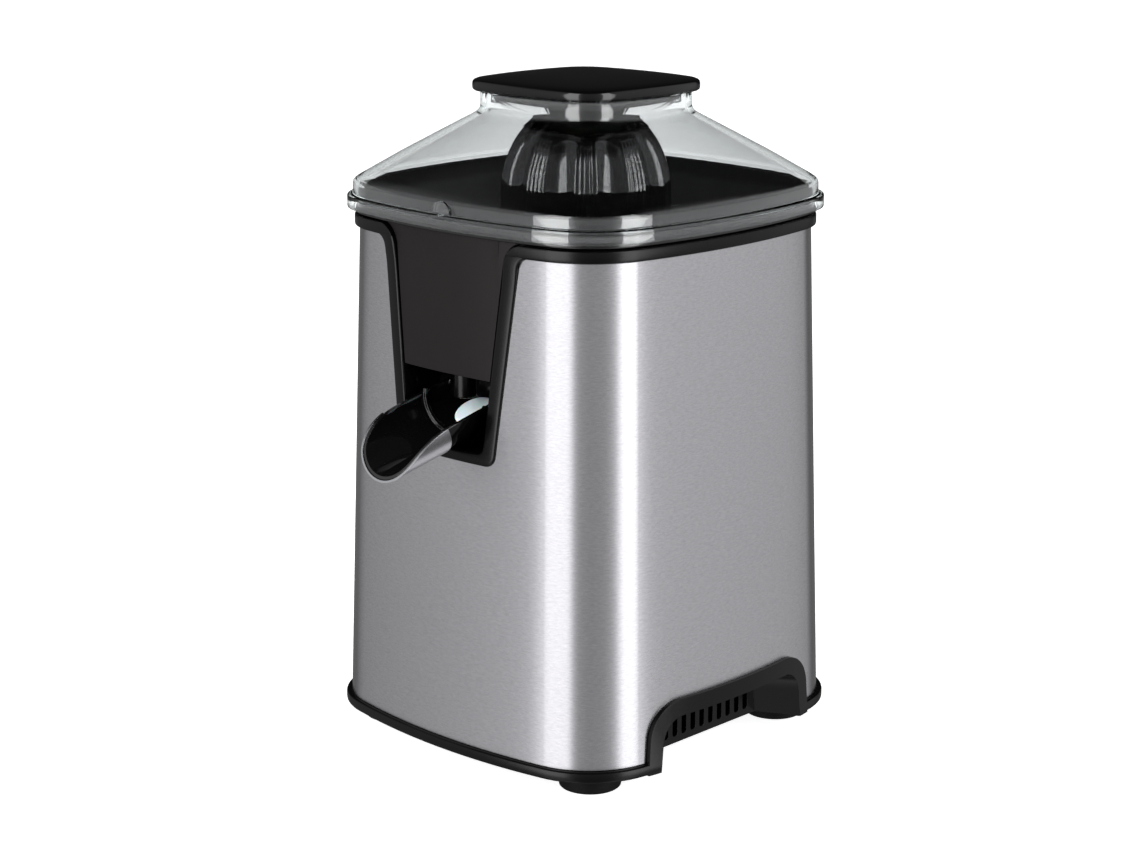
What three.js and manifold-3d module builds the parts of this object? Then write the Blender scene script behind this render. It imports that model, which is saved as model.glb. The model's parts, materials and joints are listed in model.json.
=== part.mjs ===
// Citrus press juicer: steel housing on a moulded base, juice bowl with a reamer under a clear lid, and a
// tilting spout. Millimetres, +Z up, front towards -Y, the table at z = 0.
import * as THREE from "three";
import { mergeVertices } from "three/addons/utils/BufferGeometryUtils.js";
import Module from "manifold-3d";

const wasm = await Module();
wasm.setup();

// ---------------------------------------------------------------- driving dimensions
// The body's own height is measured from the lower edge of the steel housing.
const HOUSING_BOTTOM_HALF = 92; // half width of the housing at its lower edge, at the middle of a side
const HOUSING_TOP_HALF = 85.5; // the same at its upper edge
const HOUSING_HEIGHT = 217;
const BOW_RADIUS = 297; // the sides bow outwards on this radius
const CORNER_RADIUS = 36.8;
const STEEL_THICKNESS = 1.2;
const GAP = 0.3; // between pieces that rest on each other
const RUNNING_GAP = 0.3; // between a shaft and its bore

const BASE_HALF = 94.2; // the base ring stands proud of the housing
const RING_BOTTOM = -5.1;
const FLOOR_BOTTOM = -1.8;
const FLOOR_THICKNESS = 2.5;
const FOOT_BOTTOM = -13.4;
const FOOT_RADIUS = 14;
const FOOT_SPACING = 62.5;
const POST_SPACING = 49;

const ARCH_HALF = 52.6; // side grip: the arch's outer half width and height
const ARCH_TOP = 25.5;
const GRIP_HALF = 47.6; // the opening inside the arch
const GRIP_TOP = 18.3;
const GRIP_DEPTH = 20;
const GRIP_BACK_HALF = 36;
const SLOT_PITCH = 6;
const SLOTS = 11;

const FRAME_BOTTOM = 126.4; // black frame round the spout bay
const FRAME_BOTTOM_HALF = 29.3;
const FRAME_SPLAY = 0.1216; // half width gained per mm of height
const FRAME_SIDE = 6.8;
const FRAME_SILL = 5.2;
const FRAME_PROUD = 1.1;
const APRON_BOTTOM = 163.3;
const BAY_BACK = -48;

const TRIM_HALF = 87.4; // black band between the housing and the bowl
const TRIM_BOTTOM = 217.3;
const TRIM_TOP = 223;
const TRIM_INNER_HALF = 82.3;

const BOWL_RIM_HALF = 87.2;
const BOWL_SHOULDER = 229;
const BOWL_LIP_HALF = 85.8;
const BOWL_LIP_TOP = 235.6;
const BOWL_FLOOR = 192;
const BOWL_WALL = 2.4;
const NOZZLE_Y = -75.3;
const NOZZLE_BOTTOM = 150.9;

const LID_SKIRT_HALF = 90.1;
const LID_SKIRT_BOTTOM = 225.3;
const LID_LEDGE = 231.2;
const LID_BAND_HALF = 87.9;
const LID_BAND_TOP = 236.9;
const LID_NECK_HALF = 39.7;
const LID_SLOPE_TOP = 267.2;
const LID_NECK_TOP = 276.1;
const LID_WALL = 1.8;
const LID_TAB_X = 18.5;
const CAP_HALF = 42.7;
const CAP_TOP = 283;
const SPIGOT_HALF = 35;
const SPIGOT_BOTTOM = 271.7;

const SPOUT_TILT = THREE.MathUtils.degToRad(13.4); // the channel falls this much towards its tip
const SPOUT_REAR = [-56, 157.4]; // y, z of the channel's rail line at its rear end
const SPOUT_LENGTH = 75.5;
const SPOUT_STRAIGHT = 44.2; // length of the straight rails, before the lip curves down
const SPOUT_NARROWING = 2.9; // half width lost along the lip
const SPOUT_HALF = 21.1;
const SPOUT_DEPTH = 17.8;
const SPOUT_PIVOT = [-62, 152];
const SEAL_CENTRE = [-70, 145.2];
const SEAL_TILT = THREE.MathUtils.degToRad(30);

const REAMER_RADIUS = 38;
const REAMER_BOTTOM = 206;
const REAMER_DOME = 232; // height where the dome starts
const REAMER_TOP = 270.4;
const REAMER_RIDGES = 10;
const RIDGE_ANGLE = (-46.56 * Math.PI) / 180; // one ridge points at the corner right of the front

const SHAFT_RADIUS = 5;
const SHAFT_FLATS = 8;
const OUTPUT = { teeth: 60, module: 1.25 };
const PINION = { teeth: 12, module: 1.25 };
const WHEEL = { teeth: 50, module: 1 };
const MOTOR_PINION = { teeth: 11, module: 1 };
const LAYSHAFT_ANGLE = THREE.MathUtils.degToRad(90); // where the layshaft stands, seen from the output shaft
const MOTOR_ANGLE = THREE.MathUtils.degToRad(-75); // where the motor stands, seen from the layshaft
const GEARBOX_BOTTOM = 141;
const GEARBOX_SPLIT = 177.8;
const GEARBOX_TOP = 181;
const DECK_BOTTOM = 184.3;
const DECK_TOP = 187.3;

// ---------------------------------------------------------------- places worked out from them
const pitchRadius = (gear) => (gear.teeth * gear.module) / 2;
const polar = (centre, radius, angle) => [
  centre[0] + radius * Math.cos(angle),
  centre[1] + radius * Math.sin(angle),
];
const LAYSHAFT = polar([0, 0], pitchRadius(OUTPUT) + pitchRadius(PINION), LAYSHAFT_ANGLE);
const MOTOR = polar(LAYSHAFT, pitchRadius(WHEEL) + pitchRadius(MOTOR_PINION), MOTOR_ANGLE);
const SPOUT_REACH = SPOUT_LENGTH * Math.cos(SPOUT_TILT) - SPOUT_DEPTH * Math.sin(SPOUT_TILT);
const SPOUT_TIP_Y = SPOUT_REAR[0] - SPOUT_REACH;
const housingHalf = (z) =>
  HOUSING_BOTTOM_HALF + ((HOUSING_TOP_HALF - HOUSING_BOTTOM_HALF) * z) / HOUSING_HEIGHT;
const frameHalf = (z) => FRAME_BOTTOM_HALF + FRAME_SPLAY * (z - FRAME_BOTTOM);
const CORNERS = [
  ["front_left", -1, -1],
  ["front_right", 1, -1],
  ["rear_left", -1, 1],
  ["rear_right", 1, 1],
];

// ---------------------------------------------------------------- finishes
const finish = (color, roughness, metalness = 0) =>
  new THREE.MeshStandardMaterial({ color, roughness, metalness });
const STEEL = finish(0xb9b6b2, 0.35, 1);
const BRIGHT_STEEL = finish(0xc9c9c9, 0.25, 1);
const SATIN_SILVER = finish(0xc3c5ca, 0.3, 0.9);
const BLACK = finish(0x3a3a3a, 0.5);
const GLOSS_BLACK = finish(0x101012, 0.12);
const RUBBER = finish(0x2b2b2b, 0.85);
const SILICONE = finish(0xd5e4ea, 0.5);
const CLEAR = new THREE.MeshStandardMaterial({
  color: 0xe8f2f0,
  roughness: 0.05,
  transparent: true,
  opacity: 0.3,
});
const GEAR_PLASTIC = finish(0xe6e2d4, 0.6);
const HOUSING_PLASTIC = finish(0xcfcfca, 0.6);
const COPPER = finish(0xa5612c, 0.4, 1);
const IRON = finish(0x6f7276, 0.5, 1);
const BRONZE = finish(0x9c7a3c, 0.45, 1);

// ---------------------------------------------------------------- solids
// A closed three.js geometry as a manifold-3d solid, facing outwards.
function solid(geometry) {
  const bare = new THREE.BufferGeometry();
  bare.setAttribute("position", geometry.getAttribute("position"));
  if (geometry.index) bare.setIndex(geometry.index);
  const merged = mergeVertices(bare, 1e-4);
  const corners = merged.index.array;
  const triangles = [];
  for (let i = 0; i < corners.length; i += 3) {
    const [a, b, c] = [corners[i], corners[i + 1], corners[i + 2]];
    if (a !== b && b !== c && c !== a) triangles.push(a, b, c);
  }
  const build = (triVerts) =>
    new wasm.Manifold(
      new wasm.Mesh({
        numProp: 3,
        vertProperties: new Float32Array(merged.attributes.position.array),
        triVerts: new Uint32Array(triVerts),
      }),
    );
  const made = build(triangles);
  return made.volume() < 0 ? build(triangles.reverse()) : made;
}

const join = (...solids) => solids.reduce((whole, piece) => whole.add(piece));
const cut = (whole, ...tools) => tools.reduce((rest, tool) => rest.subtract(tool), whole);

function geometryOf(manifold) {
  const { numProp, numVert, vertProperties, triVerts } = manifold.getMesh();
  const positions = new Float32Array(numVert * 3);
  for (let i = 0; i < numVert; i++) {
    positions.set(vertProperties.subarray(i * numProp, i * numProp + 3), i * 3);
  }
  const geometry = new THREE.BufferGeometry();
  geometry.setAttribute("position", new THREE.BufferAttribute(positions, 3));
  geometry.setIndex(new THREE.BufferAttribute(triVerts, 1));
  return geometry;
}

// Planes that outlines are drawn in: the third axis is the one they are extruded along.
const PLAN = new THREE.Matrix4();
const FRONT = new THREE.Matrix4().makeBasis(
  new THREE.Vector3(1, 0, 0),
  new THREE.Vector3(0, 0, 1),
  new THREE.Vector3(0, -1, 0),
);
const SIDE = new THREE.Matrix4().makeBasis(
  new THREE.Vector3(0, 1, 0),
  new THREE.Vector3(0, 0, 1),
  new THREE.Vector3(1, 0, 0),
);

const points = (pairs) => pairs.map(([x, y]) => new THREE.Vector2(x, y));

// A closed skin through outlines that all have the same number of points.
function loft(levels, plane = PLAN) {
  const count = levels[0].outline.length;
  const positions = [];
  const at = (level, i) => {
    const p = levels[level].outline[i % count];
    return [p.x, p.y, levels[level].at];
  };
  for (let level = 0; level + 1 < levels.length; level++) {
    for (let i = 0; i < count; i++) {
      const [a, b] = [at(level, i), at(level, i + 1)];
      const [c, d] = [at(level + 1, i + 1), at(level + 1, i)];
      positions.push(...a, ...b, ...c, ...a, ...c, ...d);
    }
  }
  const lid = (level, facing) => {
    for (const face of THREE.ShapeUtils.triangulateShape(levels[level].outline, [])) {
      const order = facing > 0 ? face : [...face].reverse();
      order.forEach((i) => positions.push(...at(level, i)));
    }
  };
  lid(0, -1);
  lid(levels.length - 1, 1);
  const geometry = new THREE.BufferGeometry();
  geometry.setAttribute("position", new THREE.Float32BufferAttribute(positions, 3));
  return solid(geometry.applyMatrix4(plane));
}

const prism = (outline, from, to, plane = PLAN) =>
  loft([{ at: from, outline }, { at: to, outline }], plane);

// A solid of revolution about Z through (x, y), from [radius, z] pairs.
function turned(profile, [x, y] = [0, 0], segments = 20) {
  const geometry = new THREE.LatheGeometry(points(profile), segments);
  geometry.rotateX(Math.PI / 2);
  return solid(geometry.translate(x, y, 0));
}

const rod = (radius, from, to, centre = [0, 0], segments = 16) =>
  turned([[0, from], [radius, from], [radius, to], [0, to]], centre, segments);

const tube = (outer, inner, from, to, centre = [0, 0], segments = 20) =>
  turned([[inner, from], [outer, from], [outer, to], [inner, to], [inner, from]], centre, segments);

function box(low, high) {
  const size = high.map((value, i) => value - low[i]);
  const geometry = new THREE.BoxGeometry(...size);
  return solid(geometry.translate(...low.map((value, i) => value + size[i] / 2)));
}

// A rod along X, for hinge pins and their bores.
function crossRod(radius, from, to, [y, z], segments = 12) {
  const geometry = new THREE.CylinderGeometry(radius, radius, to - from, segments);
  geometry.rotateZ(Math.PI / 2);
  return solid(geometry.translate((from + to) / 2, y, z));
}

// ---------------------------------------------------------------- outlines
function arc(cx, cy, radius, from, to, steps) {
  return Array.from({ length: steps + 1 }, (_, i) => {
    const angle = from + ((to - from) * i) / steps;
    return new THREE.Vector2(cx + radius * Math.cos(angle), cy + radius * Math.sin(angle));
  });
}

// The body's plan: a square with bowed sides and round corners, scaled to a half width.
function plan(half, sideSteps = 4, cornerSteps = 6) {
  const scale = half / HOUSING_BOTTOM_HALF;
  const [bow, corner] = [BOW_RADIUS * scale, CORNER_RADIUS * scale];
  const shift = bow - half; // a side's arc is centred this far beyond the middle
  const reach = bow - corner;
  const centre = (-shift + Math.sqrt(2 * reach * reach - shift * shift)) / 2; // of a corner's arc
  const lean = Math.atan2(centre, centre + shift);
  const outline = [];
  for (let side = 0; side < 4; side++) {
    const bowed = arc(-shift, 0, bow, -lean, lean, sideSteps);
    const rounded = arc(centre, centre, corner, lean, Math.PI / 2 - lean, cornerSteps);
    const turn = (side * Math.PI) / 2;
    [...bowed.slice(0, -1), ...rounded.slice(0, -1)].forEach((p) =>
      outline.push(p.rotateAround(new THREE.Vector2(), turn)),
    );
  }
  return outline;
}

const planLoft = (steps) => loft(steps.map(([half, at]) => ({ at, outline: plan(half) })));

// A polygon whose corners [x, y, radius] are rounded, convex or not.
function rounded(corners, steps = 4) {
  const outline = [];
  corners.forEach(([x, y, radius = 0], i) => {
    const here = new THREE.Vector2(x, y);
    if (!radius) {
      outline.push(here);
      return;
    }
    const before = corners[(i + corners.length - 1) % corners.length];
    const after = corners[(i + 1) % corners.length];
    const back = new THREE.Vector2(before[0] - x, before[1] - y).normalize();
    const on = new THREE.Vector2(after[0] - x, after[1] - y).normalize();
    const half = Math.acos(THREE.MathUtils.clamp(back.dot(on), -1, 1)) / 2;
    const start = here.clone().addScaledVector(back, radius / Math.tan(half));
    const end = here.clone().addScaledVector(on, radius / Math.tan(half));
    const middle = back.add(on).normalize().multiplyScalar(radius / Math.sin(half)).add(here);
    const from = Math.atan2(start.y - middle.y, start.x - middle.x);
    const to = Math.atan2(end.y - middle.y, end.x - middle.x);
    const sweep = THREE.MathUtils.euclideanModulo(to - from + Math.PI, 2 * Math.PI) - Math.PI;
    outline.push(...arc(middle.x, middle.y, radius, from, from + sweep, steps));
  });
  return outline;
}

// The convex outline round several circles [x, y, radius].
function hull(circles, steps = 36) {
  return Array.from({ length: steps }, (_, i) => {
    const angle = (2 * Math.PI * i) / steps;
    const [dx, dy] = [Math.cos(angle), Math.sin(angle)];
    const reach = ([x, y, radius]) => x * dx + y * dy + radius;
    const [x, y, radius] = circles.reduce((best, c) => (reach(c) > reach(best) ? c : best));
    return new THREE.Vector2(x + radius * dx, y + radius * dy);
  });
}

// The spout bay's shape seen from the front, pulled in by an inset, open upwards with flared top corners.
function bayShape(inset, sill, corner, flare, top = TRIM_TOP + GAP) {
  const bottom = FRAME_BOTTOM + sill;
  const low = frameHalf(bottom) - inset;
  const high = frameHalf(TRIM_TOP) - inset;
  return rounded([
    [-low, bottom, corner],
    [low, bottom, corner],
    [high, top, flare],
    [high + 3 * flare, top],
    [high + 3 * flare, top + 10],
    [-high - 3 * flare, top + 10],
    [-high - 3 * flare, top],
    [-high, top, flare],
  ]);
}

function gripShape(half, top, bottom, corner) {
  return rounded([
    [-half - 1.5, bottom],
    [half + 1.5, bottom],
    [half - 1, top, corner],
    [-half + 1, top, corner],
  ], 5);
}

// ---------------------------------------------------------------- the scene graph
const juicer = new THREE.Group();
juicer.name = "citrus_press_juicer";
const body = new THREE.Group(); // its zero is the housing's lower edge, on the body's own axis
const FRONT_REACH = -SPOUT_TIP_Y;
body.position.set(0, (FRONT_REACH - BASE_HALF) / 2, -FOOT_BOTTOM);
juicer.add(body);

function addGroup(name) {
  const group = new THREE.Group();
  group.name = name;
  body.add(group);
  return group;
}

function add(group, name, manifold, material) {
  const mesh = new THREE.Mesh(geometryOf(manifold), material);
  mesh.name = name;
  group.add(mesh);
}

// ---------------------------------------------------------------- base
const WALL_PROUD = BASE_HALF - HOUSING_BOTTOM_HALF;

function gripWell(side) {
  const back = side * (HOUSING_BOTTOM_HALF - GRIP_DEPTH);
  const mouth = side * (BASE_HALF + 3);
  const wall = 1.8;
  const level = (at, half, top, bottom) => ({ at, outline: gripShape(half, top, bottom, 12) });
  const foot = RING_BOTTOM + 0.4;
  const order = (levels) => (side > 0 ? levels : levels.reverse());
  const block = loft(
    order([
      level(back - side * wall, GRIP_BACK_HALF + wall, GRIP_TOP - 1 + wall, foot),
      level(mouth, GRIP_HALF + 2 + wall, GRIP_TOP + wall, foot),
    ]),
    SIDE,
  );
  const hollow = loft(
    order([
      level(back, GRIP_BACK_HALF, GRIP_TOP - 1, RING_BOTTOM - 2),
      level(mouth, GRIP_HALF + 2, GRIP_TOP, RING_BOTTOM - 2),
    ]),
    SIDE,
  );
  const slots = [];
  for (let i = 0; i < SLOTS; i++) {
    const y = (i - (SLOTS - 1) / 2) * SLOT_PITCH;
    const xs = [back - side * (wall + 1), back + side].sort((a, b) => a - b);
    slots.push(box([xs[0], y - 1, -2], [xs[1], y + 1, 13.5]));
  }
  return { block, hollow, slots };
}

function baseTray() {
  const ring = planLoft([[BASE_HALF - 0.6, RING_BOTTOM], [BASE_HALF, RING_BOTTOM + 1], [BASE_HALF, 0]]);
  const upstandOuter = housingHalf(4) - STEEL_THICKNESS - GAP - 0.2;
  const upstand = planLoft([[upstandOuter, -0.5], [upstandOuter - 0.15, 8]]);
  const inside = planLoft([[upstandOuter - 2, FLOOR_BOTTOM + FLOOR_THICKNESS], [upstandOuter - 2, 9]]);
  const under = planLoft([[BASE_HALF - 4, RING_BOTTOM - 1], [BASE_HALF - 4, FLOOR_BOTTOM]]);
  let tray = cut(join(ring, upstand), inside, under);
  const archShape = (half, top) => gripShape(half, top, RING_BOTTOM, 17);
  const proud = cut(
    planLoft([[BASE_HALF, RING_BOTTOM], [housingHalf(40) + WALL_PROUD, 40]]),
    planLoft([[housingHalf(RING_BOTTOM) + GAP, RING_BOTTOM - 1], [housingHalf(41) + GAP, 41]]),
  );
  for (const side of [-1, 1]) {
    const { block, hollow, slots } = gripWell(side);
    const span = [side * 60, side * 110].sort((a, b) => a - b);
    const arch = proud.intersect(prism(archShape(ARCH_HALF, ARCH_TOP), span[0], span[1], SIDE));
    const shell = block.intersect(planLoft([[BASE_HALF, RING_BOTTOM], [housingHalf(40) + WALL_PROUD, 40]]));
    tray = cut(join(tray, arch, shell), hollow, ...slots);
  }
  for (const [, sx, sy] of CORNERS) {
    const post = [sx * POST_SPACING, sy * POST_SPACING];
    const foot = [sx * FOOT_SPACING, sy * FOOT_SPACING];
    tray = cut(
      join(tray, rod(6.5, FLOOR_BOTTOM, 5, post)),
      rod(4.2, FLOOR_BOTTOM - 1, 1.8, post),
      rod(2.1, FLOOR_BOTTOM - 1, 6, post, 12),
      rod(4.3, FLOOR_BOTTOM - 1, FLOOR_BOTTOM + FLOOR_THICKNESS + 1, foot, 16),
    );
  }
  return tray;
}

function foot(centre) {
  return turned(
    [
      [0, FOOT_BOTTOM],
      [FOOT_RADIUS - 1.6, FOOT_BOTTOM],
      [FOOT_RADIUS - 0.6, FOOT_BOTTOM + 1],
      [FOOT_RADIUS, FLOOR_BOTTOM - GAP],
      [4, FLOOR_BOTTOM - GAP],
      [4, FLOOR_BOTTOM + FLOOR_THICKNESS + 1.2],
      [0, FLOOR_BOTTOM + FLOOR_THICKNESS + 1.2],
    ],
    centre,
    20,
  );
}

// A screw standing upright, its head downwards at the given height.
function screw(centre, headBottom, head, shank, length) {
  return turned(
    [
      [0, headBottom],
      [head, headBottom],
      [head, headBottom + head * 0.7],
      [shank, headBottom + head * 0.7],
      [shank, headBottom + length - shank],
      [0, headBottom + length],
    ],
    centre,
    10,
  );
}

function buildBase() {
  const group = addGroup("base");
  add(group, "base_tray", baseTray(), BLACK);
  for (const [name, sx, sy] of CORNERS) {
    add(group, "foot_" + name, foot([sx * FOOT_SPACING, sy * FOOT_SPACING]), RUBBER);
    const post = [sx * POST_SPACING, sy * POST_SPACING];
    add(group, "base_screw_" + name, screw(post, FLOOR_BOTTOM + 0.4, 3.8, 1.6, 24), BRIGHT_STEEL);
  }
}

// ---------------------------------------------------------------- housing
const GLAND_HEIGHT = 16;

function steelHousing() {
  const skin = cut(
    planLoft([[housingHalf(GAP), GAP], [HOUSING_TOP_HALF, HOUSING_HEIGHT]]),
    planLoft([
      [housingHalf(-1) - STEEL_THICKNESS, -1],
      [housingHalf(HOUSING_HEIGHT + 1) - STEEL_THICKNESS, HOUSING_HEIGHT + 1],
    ]),
  );
  const bay = prism(bayShape(2.5, 2.5, 4, 6), 60, 110, FRONT);
  const grips = [-1, 1].map((side) => {
    const span = [side * 60, side * 110].sort((a, b) => a - b);
    return prism(gripShape(ARCH_HALF - 2, ARCH_TOP - 2.6, -5, 15), span[0], span[1], SIDE);
  });
  const gland = rod(6.2, -110, -60).rotate([90, 0, 0]).translate([0, 0, GLAND_HEIGHT]);
  return cut(skin, bay, ...grips, gland);
}

function topFrame() {
  const band = cut(
    planLoft([[TRIM_HALF - 0.5, TRIM_BOTTOM], [TRIM_HALF, TRIM_BOTTOM + 0.8], [TRIM_HALF, TRIM_TOP - 0.8],
      [TRIM_HALF - 0.8, TRIM_TOP]]),
    planLoft([[TRIM_INNER_HALF, TRIM_BOTTOM - 1], [TRIM_INNER_HALF, TRIM_TOP + 1]]),
  );
  const skirtHalf = HOUSING_TOP_HALF - STEEL_THICKNESS - GAP - 0.1;
  const skirt = cut(
    planLoft([[skirtHalf, DECK_TOP + GAP], [skirtHalf, TRIM_BOTTOM + 1]]),
    planLoft([[TRIM_INNER_HALF, DECK_TOP - 1], [TRIM_INNER_HALF, TRIM_BOTTOM + 2]]),
  );
  const low = FRAME_BOTTOM - 2;
  const shell = (offset, from, to) => planLoft([[housingHalf(from) + offset, from], [housingHalf(to) + offset, to]]);
  const lip = cut(shell(FRAME_PROUD, low, TRIM_BOTTOM + 1), shell(0.25, low - 1, TRIM_BOTTOM + 2));
  const outside = prism(bayShape(0, 0, 5.5, 5.5), 60, 110, FRONT);
  const through = prism(bayShape(3, 3, 4, 6), 60, 110, FRONT);
  const backFace = box([-60, -110, low - 1], [60, BAY_BACK - 32, TRIM_BOTTOM + 1]);
  const insert = shell(FRAME_PROUD, low, TRIM_BOTTOM + 1).intersect(through).intersect(backFace);
  const window = prism(bayShape(FRAME_SIDE, FRAME_SILL, 4, 10, TRIM_TOP - 0.4), 50, 110, FRONT);
  return cut(join(band, skirt, lip.intersect(outside), insert), window);
}

function spoutBay() {
  const front = -BAY_BACK + 31.6; // distance of its front edge from the axis
  const inner = bayShape(FRAME_SIDE - 0.2, FRAME_SILL, 4, 0);
  const outer = bayShape(FRAME_SIDE - 1.9, FRAME_SILL - 1.6, 5, 0);
  const shell = cut(prism(outer, -BAY_BACK - 1.6, front, FRONT), prism(inner, -BAY_BACK, front + 1, FRONT));
  const below = box([-60, -110, 100], [60, 0, DECK_BOTTOM - GAP]);
  const bores = crossRod(1.8, -40, 40, SPOUT_PIVOT);
  return cut(shell.intersect(below), bores);
}

function cableGland() {
  const face = housingHalf(GLAND_HEIGHT);
  const profile = [
    [3.4, face - 6], [5.4, face - 6], [5.9, face - STEEL_THICKNESS - GAP], [5.9, face + GAP],
    [8.6, face + GAP], [8.6, face + 1.2], [7.6, face + 2], [3.4, face + 2], [3.4, face - 6],
  ];
  return turned(profile, [0, 0], 24).rotate([-90, 0, 0]).translate([0, 0, GLAND_HEIGHT]);
}

function buildHousing() {
  const group = addGroup("housing");
  add(group, "steel_housing", steelHousing(), STEEL);
  add(group, "top_frame", topFrame(), BLACK);
  add(group, "spout_bay", spoutBay(), BLACK);
  add(group, "cable_gland", cableGland(), RUBBER);
}

// ---------------------------------------------------------------- spout
// The spout is drawn with x across, y upwards from its rail line and z along it, then laid in place.
const SPOUT = new THREE.Matrix4()
  .makeBasis(
    new THREE.Vector3(-1, 0, 0),
    new THREE.Vector3(0, -Math.sin(SPOUT_TILT), Math.cos(SPOUT_TILT)),
    new THREE.Vector3(0, -Math.cos(SPOUT_TILT), -Math.sin(SPOUT_TILT)),
  )
  .setPosition(0, SPOUT_REAR[0], SPOUT_REAR[1]);

function channel(inset, from, to) {
  const levels = [];
  const steps = 8;
  for (let i = 0; i <= steps; i++) {
    const at = from + ((to - from) * i) / steps;
    const along = Math.max(0, (at - SPOUT_STRAIGHT) / (SPOUT_LENGTH - SPOUT_STRAIGHT));
    const half = SPOUT_HALF - SPOUT_NARROWING * Math.min(1, along) - inset;
    const depth = SPOUT_DEPTH + 0.3 * Math.min(1, along) - inset;
    const lower = arc(0, 0, 1, Math.PI, 2 * Math.PI, 14);
    lower.forEach((p) => p.set(p.x * half, p.y * depth));
    levels.push({ at, outline: [...lower, new THREE.Vector2(half, 3), new THREE.Vector2(-half, 3)] });
  }
  return loft(levels, SPOUT);
}

// What lies under the rail line and behind the lip's curve, seen from the side.
function belowRim(clearance = 0) {
  const lip = new THREE.CubicBezierCurve(
    ...points([
      [SPOUT_STRAIGHT, 0],
      [SPOUT_STRAIGHT + 17.8, 0],
      [SPOUT_LENGTH - 6, -SPOUT_DEPTH + 10.3],
      [SPOUT_LENGTH, -SPOUT_DEPTH - 0.3],
    ]),
  );
  const outline = [
    ...lip.getPoints(12).reverse(),
    new THREE.Vector2(-5, 0),
    new THREE.Vector2(-5, -40),
    new THREE.Vector2(SPOUT_LENGTH, -40),
  ];
  const local = new THREE.Matrix4().makeBasis(
    new THREE.Vector3(0, 0, 1),
    new THREE.Vector3(0, 1, 0),
    new THREE.Vector3(-1, 0, 0),
  );
  return prism(outline, -30 + clearance, 30 - clearance, SPOUT.clone().multiply(local));
}

const SLEEVE_TOP_START = 52.1; // where the silver sleeve begins, above the rail and below the underside
const SLEEVE_BOTTOM_START = 41.8;

// What lies ahead of the slanting line where the sleeve begins.
function aheadOfSleeve(clearance) {
  const outline = points([
    [SLEEVE_TOP_START - clearance, 6],
    [SLEEVE_BOTTOM_START - clearance, -30],
    [SPOUT_LENGTH + 10, -30],
    [SPOUT_LENGTH + 10, 6],
  ]);
  const local = new THREE.Matrix4().makeBasis(
    new THREE.Vector3(0, 0, 1),
    new THREE.Vector3(0, 1, 0),
    new THREE.Vector3(-1, 0, 0),
  );
  return prism(outline, -30, 30, SPOUT.clone().multiply(local));
}

const SLEEVE_WALL = 1.2;
const CHANNEL_WALL = 3;

// A disc that faces up and forwards, as the drip seal does.
function tiltedDisc(radius, thickness, [y, z], segments = 28) {
  return rod(radius, -thickness, 0, [0, 0], segments)
    .rotate([THREE.MathUtils.radToDeg(SEAL_TILT), 0, 0])
    .translate([0, y, z]);
}

function spoutTrough() {
  const shell = cut(channel(0.7, 0, SPOUT_LENGTH), channel(CHANNEL_WALL, 2.5, SPOUT_LENGTH + 2));
  const seat = cut(channel(-2, -1, SPOUT_LENGTH + 1), channel(SLEEVE_WALL + GAP, -2, SPOUT_LENGTH + 2));
  const lugs = [-1, 1].map((side) => {
    const span = [side * 18.4, side * 24.6].sort((a, b) => a - b);
    return crossRod(5, span[0], span[1], SPOUT_PIVOT);
  });
  const stem = tiltedDisc(4.5, 5.4, [SEAL_CENTRE[0] + 1.1, SEAL_CENTRE[1] - 1.9], 16);
  const trough = cut(shell.intersect(belowRim()), seat.intersect(aheadOfSleeve(GAP)));
  return cut(join(trough, ...lugs, stem), crossRod(1.8, -40, 40, SPOUT_PIVOT));
}

function spoutSleeve() {
  const skin = cut(channel(0, 0, SPOUT_LENGTH), channel(SLEEVE_WALL, -1, SPOUT_LENGTH + 1));
  return skin.intersect(belowRim()).intersect(aheadOfSleeve(0));
}

function buildSpout() {
  const group = addGroup("spout");
  add(group, "spout_trough", spoutTrough(), GLOSS_BLACK);
  add(group, "spout_sleeve", spoutSleeve(), SATIN_SILVER);
  add(group, "spout_seal", tiltedDisc(9.2, 1.8, SEAL_CENTRE), SILICONE);
  const wall = frameHalf(SPOUT_PIVOT[1]) - FRAME_SIDE + 1.9;
  for (const [name, side] of [["left", -1], ["right", 1]]) {
    const shank = [side * 18.8, side * (wall + 1)].sort((a, b) => a - b);
    const head = [side * (wall + 0.8), side * (wall + 2.2)].sort((a, b) => a - b);
    const pin = join(
      crossRod(1.5, shank[0], shank[1], SPOUT_PIVOT),
      crossRod(3, head[0], head[1], SPOUT_PIVOT),
    );
    add(group, "spout_pin_" + name, pin, BRIGHT_STEEL);
  }
}

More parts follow.
